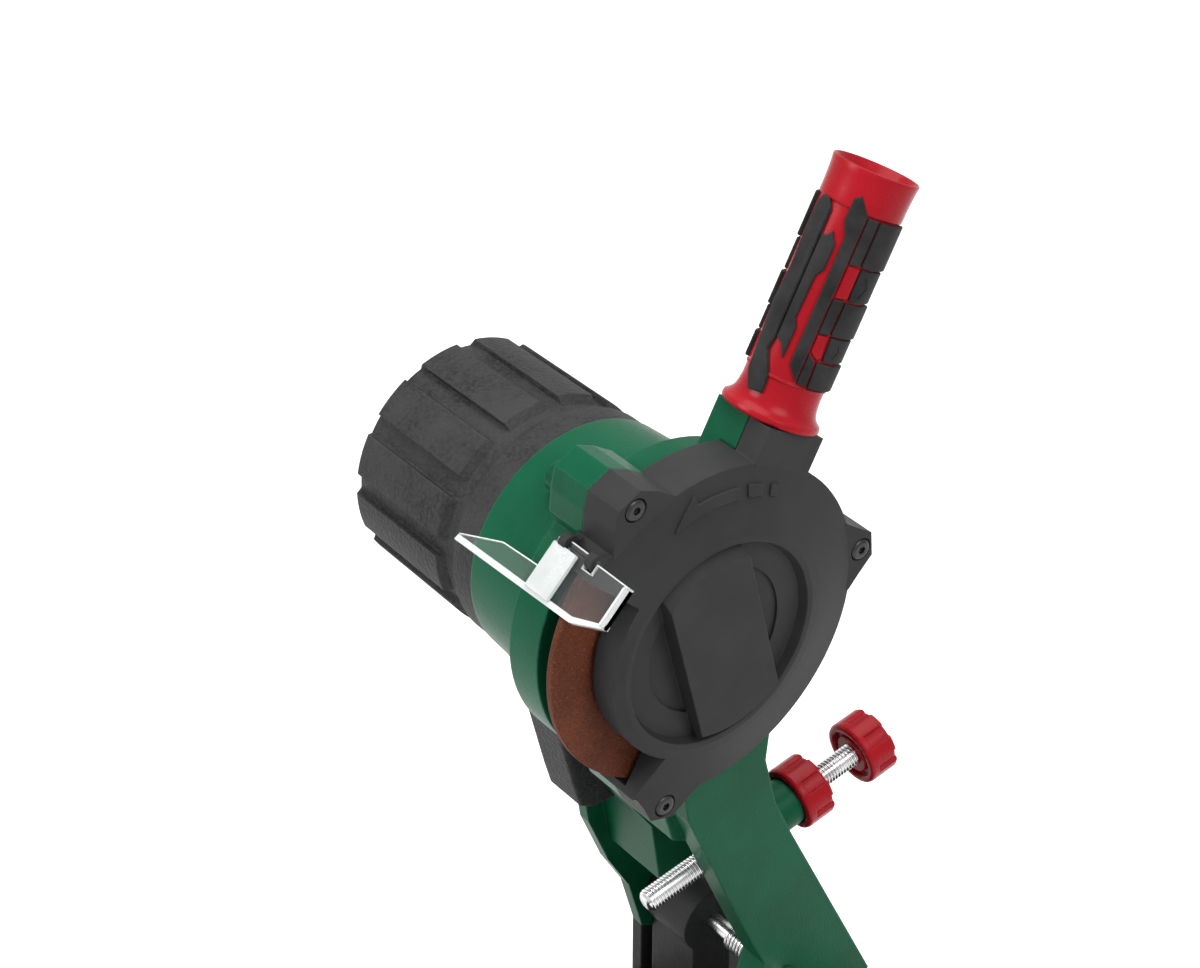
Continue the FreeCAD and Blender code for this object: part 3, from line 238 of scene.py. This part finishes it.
dress(coverPlastic, "guard_cover", "cable_gland", "switch_body")
dress(motorPlastic, "motor_cover", "control_housing")
dress(greenPaint, "gear_housing")
dress(redPlastic, "switch_rocker", "chain_stop_knob")
dress(blackSteel, "cover_screws")
dress(blackCasting, "hinge_upright", "base_plate", "turntable")
dress(zincSteel, "upright_bolts", "axle_nut", "return_spring", "turntable_bolt", "turntable_lock_nut",
      "chain_stop_bracket", "chain_stop_carrier", "chain_stop_pawl", "pawl_pin", "ball_bearings",
      "disc_clamp_nut", "depth_stop_pad")
dress(blackSteel, "shield_pin")
dress(turnedSteelX, "spindle_shaft", "hinge_axle", "clamp_bar", "chain_stop_screw", "disc_inner_flange")
dress(turnedSteelY, "clamp_screw", "jaw_guide_pins", "handle_stud")
dress(groundSteelX, "moving_jaw")
dress(windingCopper, "field_windings")
dress(coreSteel, "rotor", "motor_stator")
dress(fanNylon, "cooling_fan")
dress(brushCarbon, "carbon_brushes")
print("finishes on the frame")


# abrasive: reddish resin with light and dark grains

discLook = {"resin": (0.080, 0.018, 0.006), "resinLit": (0.125, 0.032, 0.012),
            "lightGrain": (0.24, 0.10, 0.06), "darkGrain": (0.022, 0.007, 0.004), "grainSize": 0.00036}


def makeAbrasive():
    material = bpy.data.materials.new("abrasiveResin")
    material.use_nodes = True
    tree = material.node_tree
    shader = tree.nodes["Principled BSDF"]
    place = tree.nodes.new("ShaderNodeTexCoord").outputs["Object"]
    patches = noise(tree, place, 0.02, 4.0)
    body = blendColours(tree, spread(tree, patches, 0.35, 0.65, 0.0, 1.0), discLook["resin"],
                        discLook["resinLit"])
    cells = node(tree, "ShaderNodeTexVoronoi", {},
                 {"Vector": place, "Scale": 1.0 / discLook["grainSize"]})
    shade = node(tree, "ShaderNodeSeparateColor", {}, {"Color": cells.outputs["Color"]}).outputs[0]
    body = blendColours(tree, spread(tree, shade, 0.82, 0.97, 0.0, 0.45), body, discLook["lightGrain"])
    body = blendColours(tree, spread(tree, shade, 0.25, 0.10, 0.0, 0.7), body, discLook["darkGrain"])
    tree.links.new(body, shader.inputs["Base Color"])
    shader.inputs["Specular IOR Level"].default_value = 0.2
    rough = spread(tree, shade, 0.0, 1.0, 0.62, 0.85)
    tree.links.new(rough, shader.inputs["Roughness"])
    bump = node(tree, "ShaderNodeBump", {},
                {"Strength": 0.5, "Distance": 0.0002, "Height": cells.outputs["Distance"]})
    tree.links.new(bump.outputs[0], shader.inputs["Normal"])
    return material


dress(makeAbrasive(), "grinding_disc")


# clear sight shield: polished polycarbonate with a slight haze

shieldLook = {"tint": (0.93, 0.95, 0.95), "rough": 0.03, "haze": 0.06, "ior": 1.49}


def makeClear():
    material = bpy.data.materials.new("clearPolycarbonate")
    material.use_nodes = True
    tree = material.node_tree
    shader = tree.nodes["Principled BSDF"]
    place = tree.nodes.new("ShaderNodeTexCoord").outputs["Object"]
    shader.inputs["Base Color"].default_value = (*shieldLook["tint"], 1.0)
    shader.inputs["Transmission Weight"].default_value = 1.0
    shader.inputs["IOR"].default_value = shieldLook["ior"]
    haze = noise(tree, place, 0.01, 4.0)
    rough = spread(tree, haze, 0.45, 0.75, shieldLook["rough"],
                   shieldLook["rough"] + shieldLook["haze"])
    tree.links.new(rough, shader.inputs["Roughness"])
    wave = noise(tree, place, 0.012, 1.0)
    bump = node(tree, "ShaderNodeBump", {}, {"Strength": 0.06, "Distance": 0.001, "Height": wave})
    tree.links.new(bump.outputs[0], shader.inputs["Normal"])
    return material


clearPolycarbonate = makeClear()


# painted highlight: near-white, only partly see-through colour for the clear shield's edges, where light
# catches them
def makeEdgeHighlight():
    look = {"dark": (0.80, 0.83, 0.83), "light": (0.90, 0.92, 0.92), "edge": (0.96, 0.96, 0.96),
            "rough": 0.20, "patch": 0.01, "grain": 0.0005, "bump": 0.05, "arris": 0.0003, "wear": 0.5,
            "ior": 1.5}
    material = makeFinish("paintedEdgeHighlight", look)
    material.node_tree.nodes["Principled BSDF"].inputs["Transmission Weight"].default_value = 0.35
    return material


# the shield is a flat plate with a wing and a hood, leaned by 45 degrees on its pin
sightShield = {"hinge": (-0.0417, 0.0439), "thick": 0.0022, "lean": -45.0, "edgeRound": 0.00035,
               "blockRound": 0.0003, "highlightLipReach": (-0.00128, 0.00112),
               "hood": [((-9.4, -2.2, -17.4), (1.6, -1.0, -1.6))],
               # thin strip along the lower edge that carries the painted edge highlight
               "highlightLip": [(-43.0, -19.4), (12.0, -18.2), (24.0, -13.8), (24.0, -12.4), (11.8, -16.3),
                       (-42.6, -17.4)],
               "rim": [((22.6, -2.9, -13.6), (24.0, 1.1, -0.3)),
                       ((22.8, -1.3, -13.9), (24.0, 1.1, -0.3))],
               "outline": [(-43.0, -19.4), (12.0, -18.2), (24.0, -13.8), (24.0, 0.0), (8.4, 0.0),
                           (8.4, -3.4), (4.7, -3.4), (4.7, 1.0), (-4.3, 1.0), (-4.3, -3.4),
                           (-7.9, -3.4), (-7.9, 0.0), (-9.5, 0.0), (-9.2, -10.4), (-26.5, -11.2),
                           (-43.0, -17.0)]}


def shieldPiece(name, work, materials):
    lean = Matrix.Rotation(math.radians(sightShield["lean"]), 4, "X")
    hinge = discCentre + Vector((0.0, *sightShield["hinge"]))
    bmesh.ops.transform(work, matrix=Matrix.Translation(hinge) @ lean, verts=work.verts)
    return pieceFrom(name, work, materials, "shield")


def shieldPlate():
    half = sightShield["thick"] / 2
    work = bmesh.new()
    for side in addPrism(work, sightShield["outline"], -half, half):
        # the plate's side faces get the painted edge highlight
        side.material_index = 1
    bmesh.ops.recalc_face_normals(work, faces=work.faces)
    rims = [e for e in work.edges if (e.verts[0].co.y - e.verts[1].co.y) ** 2 < 1e-12]
    bmesh.ops.bevel(work, geom=rims, offset=sightShield["edgeRound"], segments=2, affect="EDGES",
                    material=1)
    return shieldPiece("shieldPlate", work, (clearPolycarbonate, makeEdgeHighlight()))


def roundedBlock(work, low, high, edge):
    corners = bmesh.ops.create_cube(work, size=1.0)["verts"]
    size = [(b - a) / 1000 for a, b in zip(low, high)]
    middle = [(a + b) / 2000 for a, b in zip(low, high)]
    bmesh.ops.transform(work, matrix=Matrix.Translation(middle) @ Matrix.Diagonal((*size, 1.0)),
                        verts=corners)
    edges = list({e for v in corners for e in v.link_edges})
    bmesh.ops.bevel(work, geom=edges, offset=edge, segments=2, affect="EDGES")


def makeMilky():
    look = {"dark": (0.78, 0.81, 0.81), "light": (0.90, 0.92, 0.92), "edge": (1.0, 1.0, 1.0),
            "rough": 0.22, "patch": 0.006, "grain": 0.0005, "bump": 0.05, "arris": 0.0003, "wear": 0.6}
    material = makeFinish("milkyHood", look)
    material.node_tree.nodes["Principled BSDF"].inputs["Transmission Weight"].default_value = 0.45
    return material


def shieldHood():
    work = bmesh.new()
    for low, high in sightShield["hood"]:
        roundedBlock(work, low, high, sightShield["blockRound"])
    return shieldPiece("shieldHood", work, (makeMilky(),))


def shieldRimHighlight():
    # the lip along the lower edge and the rim at the right end, coloured near-white as a painted highlight
    # of light catching the clear plate's edges
    work = bmesh.new()
    addPrism(work, sightShield["highlightLip"], *sightShield["highlightLipReach"])
    bmesh.ops.recalc_face_normals(work, faces=work.faces)
    for low, high in sightShield["rim"]:
        roundedBlock(work, low, high, sightShield["blockRound"])
    return shieldPiece("shieldRimHighlight", work, (makeEdgeHighlight(),))


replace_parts(shieldPlate(), "sight_shield")
shieldHood()
shieldRimHighlight()
print("disc and shield done")


# depth screw: a real M8 thread from the tip to the knob

depthScrew = {"tip": (-0.012, 0.0202, 0.1119), "direction": (0.0, 0.980, 0.199), "radius": 0.00398,
              "pitch": 0.00125, "depth": 0.00072, "length": 0.0995, "around": 40, "perTurn": 8}


def threadPiece(name, screw):
    rows = int(screw["length"] / screw["pitch"] * screw["perTurn"])
    around = screw["around"]
    verts = []
    for row in range(rows + 1):
        z = screw["length"] * row / rows
        chamfer = max(0.0, 1.0 - z / 0.0012)
        for step in range(around):
            turn = step / around
            phase = (z / screw["pitch"] - turn) % 1.0
            groove = min(1.0, max(0.0, abs(phase - 0.5) * 2.6 - 0.2))
            radius = screw["radius"] - screw["depth"] * groove
            radius = min(radius, screw["radius"] - 0.0013 * chamfer)
            verts.append((radius * math.cos(turn * 2 * math.pi), radius * math.sin(turn * 2 * math.pi),
                          z))
    faces = []
    for row in range(rows):
        for step in range(around):
            following = (step + 1) % around
            faces.append((row * around + step, row * around + following,
                          (row + 1) * around + following, (row + 1) * around + step))
    faces.append(tuple(reversed(range(around))))
    faces.append(tuple(rows * around + step for step in range(around)))
    direction = Vector(screw["direction"]).normalized()
    spin = direction.to_track_quat("Z", "Y")
    origin = Vector(screw["tip"])
    verts = [origin + spin @ Vector(v) for v in verts]
    return meshPiece(name, verts, faces, smooth=True)


depthThread = threadPiece("depthThread", depthScrew)
depthThread.data.materials.append(threadSteel)
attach(depthThread, "stop_screw")
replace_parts(depthThread, "depth_screw")
print("depth screw thread cut")


# hand knobs of the depth stop: round near face with a groove, flat finger recesses behind it

depthKnobs = {"radius": 0.0115, "count": 7, "share": 0.44, "recess": 0.0011, "slope": 0.06,
              "stepsPerLobe": 24,
              "knobs": {"depthKnob": {"node": "depth_knob", "body": "stop_knob", "near": 0.0904,
                                      "far": 0.1020, "capped": True},
                        "lockKnob": {"node": "depth_lock_knob", "body": "stop_lock", "near": 0.0621,
                                     "far": 0.0737, "capped": False}}}


def knobProfile(thick, capped):
    # (radius, height, how much the finger recess reaches it)
    r = depthKnobs["radius"]
    profile = [(0.0041, 0.0004, 0), (0.0066, 0.0004, 0), (0.0069, 0.0007, 0), (0.0069, 0.0017, 0),
               (0.0086, 0.0017, 0), (0.0088, 0.0004, 0), (0.0092, 0.0, 0), (r - 0.0012, 0.0, 0),
               (r - 0.0004, 0.0003, 0), (r, 0.0011, 0), (r, 0.0030, 0), (r, 0.0031, 1),
               (r, thick - 0.0010, 1), (r - 0.0003, thick - 0.0004, 1), (r - 0.0010, thick, 0.9),
               (0.0078, thick, 0), (0.0074, thick - 0.0004, 0)]
    if capped:
        profile += [(0.0070, thick - 0.0004, 0), (0.0069, thick + 0.0008, 0),
                    (0.0060, thick + 0.0014, 0), (0.0030, thick + 0.0016, 0),
                    (0.0002, thick + 0.0016, 0)]
    else:
        profile += [(0.0046, thick - 0.0004, 0), (0.0041, thick - 0.0008, 0)]
    return profile


def knobPiece(name, knob):
    profile = knobProfile(knob["far"] - knob["near"], knob["capped"])
    steps = depthKnobs["count"] * depthKnobs["stepsPerLobe"]
    direction = Vector(depthScrew["direction"]).normalized()
    spin = direction.to_track_quat("Z", "Y")
    origin = Vector(depthScrew["tip"])
    verts = []
    for radius, height, reach in profile:
        for step in range(steps):
            turn = step / steps
            across = abs((turn * depthKnobs["count"]) % 1.0 - 0.5) * 2
            dip = min(1.0, max(0.0,
                               (depthKnobs["share"] + depthKnobs["slope"] - across) / depthKnobs["slope"]))
            bent = radius - reach * dip * depthKnobs["recess"]
            around = turn * 2 * math.pi
            local = Vector((bent * math.cos(around), bent * math.sin(around), knob["near"] + height))
            verts.append(origin + spin @ local)
    faces = []
    for row in range(len(profile) - 1):
        for step in range(steps):
            following = (step + 1) % steps
            faces.append((row * steps + step, row * steps + following,
                          (row + 1) * steps + following, (row + 1) * steps + step))
    if not knob["capped"]:
        last = len(profile) - 1
        for step in range(steps):
            following = (step + 1) % steps
            faces.append((last * steps + step, last * steps + following, following, step))
    else:
        faces.append(tuple(reversed(range(steps))))
        faces.append(tuple((len(profile) - 1) * steps + step for step in range(steps)))
    piece = meshPiece(name, verts, faces)
    fixNormals(piece)
    piece.data.materials.append(redPlastic)
    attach(piece, knob["body"])
    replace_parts(piece, knob["node"])


for name, knob in depthKnobs["knobs"].items():
    knobPiece(name, knob)
print("hand knobs turned")


# handle: red core turned in one piece, rubber pads wrapped round it, red windows between them

handleLook = {"seatRadius": 0.068, "x": -0.0045, "angle": 61.2, "wrapRadius": 13.5, "inner": 11.2,
              "edgeRound": 0.22, "step": 1.6, "coreSteps": 96, "sharpFrom": 35,
              "core": [(4.2, 0.0), (15.2, 0.0), (15.7, 0.5), (15.8, 1.2), (15.5, 2.1), (14.4, 2.9),
                       (13.4, 4.2), (12.8, 6.2), (12.5, 9.0), (12.45, 12.6), (12.9, 12.9), (12.9, 13.3),
                       (12.45, 13.6), (12.45, 67.6), (13.1, 67.9), (13.2, 68.6), (13.2, 71.8),
                       (13.3, 74.5), (13.5, 77.5), (13.7, 79.4), (13.6, 79.9), (13.3, 80.0),
                       (12.6, 79.3), (11.9, 77.4), (10.6, 76.4), (0.2, 76.2)]}

# outlines are (degrees round the handle, mm along it)
gripPads = {
    "left": (13.7, [(-115, 58), (-113, 65.5), (-106, 68), (-94, 68), (-85, 65), (-85, 24), (-88, 20),
                    (-72, 13), (-70, 7.4), (-92, 6.8), (-106, 12), (-112, 24), (-117, 33), (-111, 45)]),
    "middle": (13.3, [(-83, 57.6), (-75, 57.9), (-70, 59.6), (-60, 56), (-60, 48.3), (-67.5, 45.5),
                      (-69.5, 32), (-63.5, 29.5), (-64, 19.5), (-73, 23.4), (-83, 24.6)]),
    "pointed": (13.5, [(-61.5, 64), (-61, 71), (-52, 72.4), (-36, 67.5), (-36, 14.4), (-52, 19),
                       (-52.5, 59.5)]),
    "band1": (13.2, [(-34, 67.2), (-17.5, 67.2), (-17.5, 53), (-34, 52.4)]),
    "band2": (13.2, [(-34, 41.4), (-17.5, 42), (-18.5, 30.8), (-34, 30.3)]),
    "band3": (13.2, [(-34, 24), (-22, 21.9), (-19, 13.9), (-34, 14.2)]),
    "outer1": (13.9, [(-15.5, 67.2), (45, 67.2), (45, 53), (-15.5, 53)]),
    "outer2": (13.5, [(-13.2, 52.3), (40, 52.3), (40, 42.3), (-13.2, 42.3)]),
    "outer3": (13.9, [(-15.5, 41.5), (45, 41.5), (45, 31), (-16, 31)]),
    "outer4": (13.5, [(-14, 30.4), (40, 30.4), (40, 22.9), (-12, 22.9)]),
    "outer5": (13.9, [(-19, 22.1), (45, 22.1), (45, 13.9), (-17, 13.9)])}
gripWindows = {
    "window1": (13.1, [(-33.5, 52), (-15, 52.4), (-14.5, 42.4), (-33.5, 41.8)]),
    "window2": (13.1, [(-33.5, 30), (-18.5, 30.4), (-15, 23.2), (-21, 22.6), (-33.5, 24.6)])}
gripChevrons = {
    "chevron1": (13.62, [(-4.2, 49.9), (-1.2, 50.6), (10.4, 47.1), (0.2, 43.4), (-2.8, 44.1),
                         (6.0, 47.1)]),
    "chevron2": (13.62, [(-1.4, 29.2), (0.8, 29.2), (8.6, 26.6), (0.8, 24.0), (-1.4, 24.0),
                         (5.4, 26.6)])}


def handlePlace():
    a = math.radians(handleLook["angle"])
    direction = Vector((0.0, math.cos(a), math.sin(a)))
    origin = discCentre + Vector((handleLook["x"], 0, 0)) + direction * handleLook["seatRadius"]
    return Matrix.Translation(origin) @ Matrix.Rotation(a - math.pi / 2, 4, "X")


def wrapPad(outline, outer, turn):
    # the pad is cut flat, rounded, sliced and then wrapped on the core
    perDegree = handleLook["wrapRadius"] * math.pi / 180
    pad = bmesh.new()
    low = [pad.verts.new((angle * perDegree, along, handleLook["inner"])) for angle, along in outline]
    high = [pad.verts.new((angle * perDegree, along, outer)) for angle, along in outline]
    count = len(outline)
    pad.faces.new(low)
    pad.faces.new(list(reversed(high)))
    for i in range(count):
        pad.faces.new((low[i], high[i], high[(i + 1) % count], low[(i + 1) % count]))
    bmesh.ops.recalc_face_normals(pad, faces=pad.faces)
    rims = [e for e in pad.edges if min(v.co.z for v in e.verts) > outer - 0.01]
    bmesh.ops.bevel(pad, geom=rims, offset=handleLook["edgeRound"], segments=2, affect="EDGES")
    left = min(v.co.x for v in pad.verts)
    right = max(v.co.x for v in pad.verts)
    at = left + handleLook["step"]
    while at < right:
        whole = pad.verts[:] + pad.edges[:] + pad.faces[:]
        bmesh.ops.bisect_plane(pad, geom=whole, plane_co=(at, 0, 0), plane_no=(1, 0, 0))
        at += handleLook["step"]
    for v in pad.verts:
        angle = math.radians(v.co.x / perDegree + turn)
        v.co = Vector((v.co.z * math.cos(angle), v.co.z * math.sin(angle), v.co.y)) / 1000
    return pad


def wrapPads(name, pads, material):
    work = bmesh.new()
    for outer, outline in pads.values():
        for turn in (0, 180):
            pad = wrapPad(outline, outer, turn)
            part = bpy.data.meshes.new("pad")
            pad.to_mesh(part)
            pad.free()
            work.from_mesh(part)
            bpy.data.meshes.remove(part)
    bmesh.ops.transform(work, matrix=handlePlace(), verts=work.verts)
    return pieceFrom(name, work, (material,), "head")


def handleCore():
    steps = handleLook["coreSteps"]
    work = bmesh.new()
    rings = []
    for radius, along in handleLook["core"]:
        turns = [2 * math.pi * k / steps for k in range(steps)]
        rings.append([work.verts.new((radius / 1000 * math.cos(t), radius / 1000 * math.sin(t),
                                      along / 1000))
                      for t in turns])
    for low, high in zip(rings, rings[1:] + rings[:1]):
        for k in range(steps):
            work.faces.new((low[k], low[(k + 1) % steps], high[(k + 1) % steps], high[k]))
    bmesh.ops.recalc_face_normals(work, faces=work.faces)
    for face in work.faces:
        face.smooth = True
    for edge in work.edges:
        edge.smooth = edge.calc_face_angle(0.0) < math.radians(handleLook["sharpFrom"])
    bmesh.ops.transform(work, matrix=handlePlace(), verts=work.verts)
    return pieceFrom("handleCore", work, (redPlastic,), "head")


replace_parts(handleCore(), "handle_core")
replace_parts(wrapPads("gripPads", gripPads, gripRubber), "handle_grips")
wrapPads("gripWindows", gripWindows, redPlastic)
chevronRubber = makeFinish("chevronRubber",
                           dict(rubberLook, dark=(0.004, 0.004, 0.004), light=(0.008, 0.008, 0.008)))
wrapPads("gripChevrons", gripChevrons, chevronRubber)
print("handle wrapped")


# raised arrow and blocks on the cover's sloping rim

arrowMarks = {"height": 0.0008, "innerRadius": 44.6, "outerRadius": 57.6, "innerX": 12.2, "outerX": 8.2,
              "arrow": {"start": 80.5, "shaftEnd": 97.5, "tip": 109.2, "low": 48.3, "high": 51.8,
                        "barb": 54.6},
              "blocks": [(69.6, 76.2), (62.4, 65.6)]}


def rimPoint(angle, radius, lift):
    share = (radius - arrowMarks["innerRadius"]) / (arrowMarks["outerRadius"] - arrowMarks["innerRadius"])
    x = arrowMarks["innerX"] + share * (arrowMarks["outerX"] - arrowMarks["innerX"])
    a = math.radians(angle)
    return discCentre + Vector((x / 1000 + lift, radius / 1000 * math.cos(a),
                                radius / 1000 * math.sin(a)))


def raisedStrip(name, stations):
    # stations are (angle, low radius, high radius) along the mark
    verts, faces = [], []
    for angle, low, high in stations:
        for radius, lift in ((low, -0.0003), (low, arrowMarks["height"]), (high, arrowMarks["height"]),
                             (high, -0.0003)):
            verts.append(rimPoint(angle, radius, lift))
    for i in range(len(stations) - 1):
        for k in range(4):
            faces.append((4 * i + k, 4 * i + (k + 1) % 4, 4 * i + 4 + (k + 1) % 4, 4 * i + 4 + k))
    faces.append((3, 2, 1, 0))
    faces.append(tuple(4 * (len(stations) - 1) + k for k in range(4)))
    piece = meshPiece(name, verts, faces)
    fixNormals(piece)
    piece.data.materials.append(coverPlastic)
    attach(piece, "head")
    return piece


def turnArrow():
    arrow = arrowMarks["arrow"]
    stations = []
    for i in range(9):
        angle = arrow["start"] + (arrow["shaftEnd"] - arrow["start"]) * i / 8
        stations.append((angle, arrow["low"], arrow["high"]))
    for i in range(7):
        share = i / 6
        angle = arrow["shaftEnd"] + 0.4 + (arrow["tip"] - arrow["shaftEnd"] - 0.4) * share
        stations.append((angle, arrow["low"],
                         arrow["barb"] + (arrow["low"] + 0.15 - arrow["barb"]) * share))
    raisedStrip("turnArrow", stations)
    for i, (start, end) in enumerate(arrowMarks["blocks"]):
        stations = [(start + (end - start) * k / 4, arrow["low"] + 0.1, arrow["high"] + 0.1)
                    for k in range(5)]
        raisedStrip("rimBlock%d" % (i + 1), stations)


turnArrow()
print("marks on the cover's rim")


# swing scale on the turntable's top, with plain degree marks

swingScale = {"centre": (0.0, -0.074), "top": 0.018, "inner": 0.0325, "longer": 0.0045,
              "shorter": 0.003, "width": 0.0005, "thick": 0.00012, "reach": 35, "step": 5}


def makeInk():
    ink = dict(coverLook, dark=(0.70, 0.70, 0.69), light=(0.80, 0.80, 0.79), edge=(0.8, 0.8, 0.8),
               rough=0.5)
    return makeFinish("scaleInk", ink)


def scaleTicks():
    verts, faces = [], []
    for degree in range(-swingScale["reach"], swingScale["reach"] + 1, swingScale["step"]):
        marked = degree % 10 == 0 or abs(degree) == swingScale["reach"]
        length = swingScale["longer"] if marked else swingScale["shorter"]
        a = math.radians(degree - 90)
        out = Vector((math.cos(a), math.sin(a), 0))
        side = Vector((-math.sin(a), math.cos(a), 0)) * swingScale["width"] / 2
        base = Vector((*swingScale["centre"], swingScale["top"])) + out * swingScale["inner"]
        start = len(verts)
        for lift in (-0.0001, swingScale["thick"]):
            up = Vector((0, 0, lift))
            tip = base + out * length
            verts += [base - side + up, base + side + up, tip + side + up, tip - side + up]
        for face in ((3, 2, 1, 0), (4, 5, 6, 7), (0, 1, 5, 4), (1, 2, 6, 5), (2, 3, 7, 6),
                     (3, 0, 4, 7)):
            faces.append(tuple(start + k for k in face))
    return meshPiece("scaleTicks", verts, faces)


scaleInk = makeInk()
ticks = scaleTicks()
ticks.data.materials.append(scaleInk)
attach(ticks, "vise_table")
print("swing scale marked")


# room: a pale floor, soft studio light and the photograph's camera

studio = {"floorSize": 6.0, "floorColour": (0.82, 0.82, 0.82), "floorGlow": 0.45, "world": 0.36,
          "lights": {
              "keyLight": {"place": (-0.60, -1.30, 1.30), "size": 0.9, "power": 21.0},
              "sideLight": {"place": (1.00, 0.10, 1.30), "size": 0.9, "power": 13.0},
              "topLight": {"place": (-0.30, 0.25, 1.7), "size": 1.2, "power": 16.0}}}


def makeFloor():
    half = studio["floorSize"] / 2
    corners = [(-half, -half, 0), (half, -half, 0), (half, half, 0), (-half, half, 0)]
    floor = meshPiece("studioFloor", corners, [(0, 1, 2, 3)])
    material = bpy.data.materials.new("paleFloor")
    material.use_nodes = True
    tree = material.node_tree
    shader = tree.nodes["Principled BSDF"]
    shader.inputs["Base Color"].default_value = (*studio["floorColour"], 1.0)
    shader.inputs["Roughness"].default_value = 0.9
    rays = tree.nodes.new("ShaderNodeLightPath")
    seen = maths(tree, "MAXIMUM", rays.outputs["Is Camera Ray"], rays.outputs["Is Transmission Ray"])
    seen = maths(tree, "MAXIMUM", seen, rays.outputs["Is Glossy Ray"])
    strength = maths(tree, "MULTIPLY", seen, studio["floorGlow"])
    glow = node(tree, "ShaderNodeEmission", {}, {"Color": (1, 1, 1, 1), "Strength": strength})
    both = node(tree, "ShaderNodeAddShader", {}, {0: shader.outputs[0], 1: glow.outputs[0]})
    tree.links.new(both.outputs[0], tree.nodes["Material Output"].inputs[0])
    floor.data.materials.append(material)


def makeWorld():
    world = bpy.data.worlds.new("studioWorld")
    bpy.context.scene.world = world
    world.use_nodes = True
    tree = world.node_tree
    back = tree.nodes["Background"]
    rays = tree.nodes.new("ShaderNodeLightPath")
    seen = maths(tree, "MAXIMUM", rays.outputs["Is Camera Ray"], rays.outputs["Is Transmission Ray"])
    seen = maths(tree, "MAXIMUM", seen, rays.outputs["Is Glossy Ray"])
    tree.links.new(spread(tree, seen, 0.0, 1.0, studio["world"], 1.0), back.inputs["Strength"])
    back.inputs["Color"].default_value = (1, 1, 1, 1)


def makeLights():
    aim = Vector((0.0, 0.0, 0.2))
    for name, light in studio["lights"].items():
        lamp = bpy.data.lights.new(name, "AREA")
        lamp.shape = "DISK"
        lamp.size = light["size"]
        lamp.energy = light["power"]
        holder = bpy.data.objects.new(name, lamp)
        holder.location = light["place"]
        holder.rotation_euler = (aim - Vector(light["place"])).to_track_quat("-Z", "Y").to_euler()
        bpy.context.scene.collection.objects.link(holder)


viewLook = {"azimuth": 52.18, "elevation": 33.85, "focal": 3000.0, "distance": 0.910,
            "centreAt": (690.5, 621.7)}


def makeCamera():
    a = math.radians(viewLook["azimuth"])
    e = math.radians(viewLook["elevation"])
    back = Vector((math.sin(a) * math.cos(e), -math.cos(a) * math.cos(e), math.sin(e)))
    right = Vector((math.cos(a), math.sin(a), 0.0))
    up = back.cross(right)
    offX = (viewLook["centreAt"][0] - 600) / viewLook["focal"] * viewLook["distance"]
    offY = -(viewLook["centreAt"][1] - 484) / viewLook["focal"] * viewLook["distance"]
    place = discCentre - right * offX - up * offY + back * viewLook["distance"]
    camera = bpy.data.cameras.new("photoCamera")
    camera.sensor_width = 36
    camera.lens = viewLook["focal"] * 36 / 1200
    camera.clip_start = 0.01
    holder = bpy.data.objects.new("photoCamera", camera)
    bpy.context.scene.collection.objects.link(holder)
    holder.matrix_world = Matrix(((right.x, up.x, back.x, place.x), (right.y, up.y, back.y, place.y),
                                  (right.z, up.z, back.z, place.z), (0, 0, 0, 1)))
    bpy.context.scene.camera = holder


makeFloor()
makeWorld()
makeLights()
makeCamera()
bpy.context.scene.view_settings.view_transform = "Standard"
print("studio and camera set")
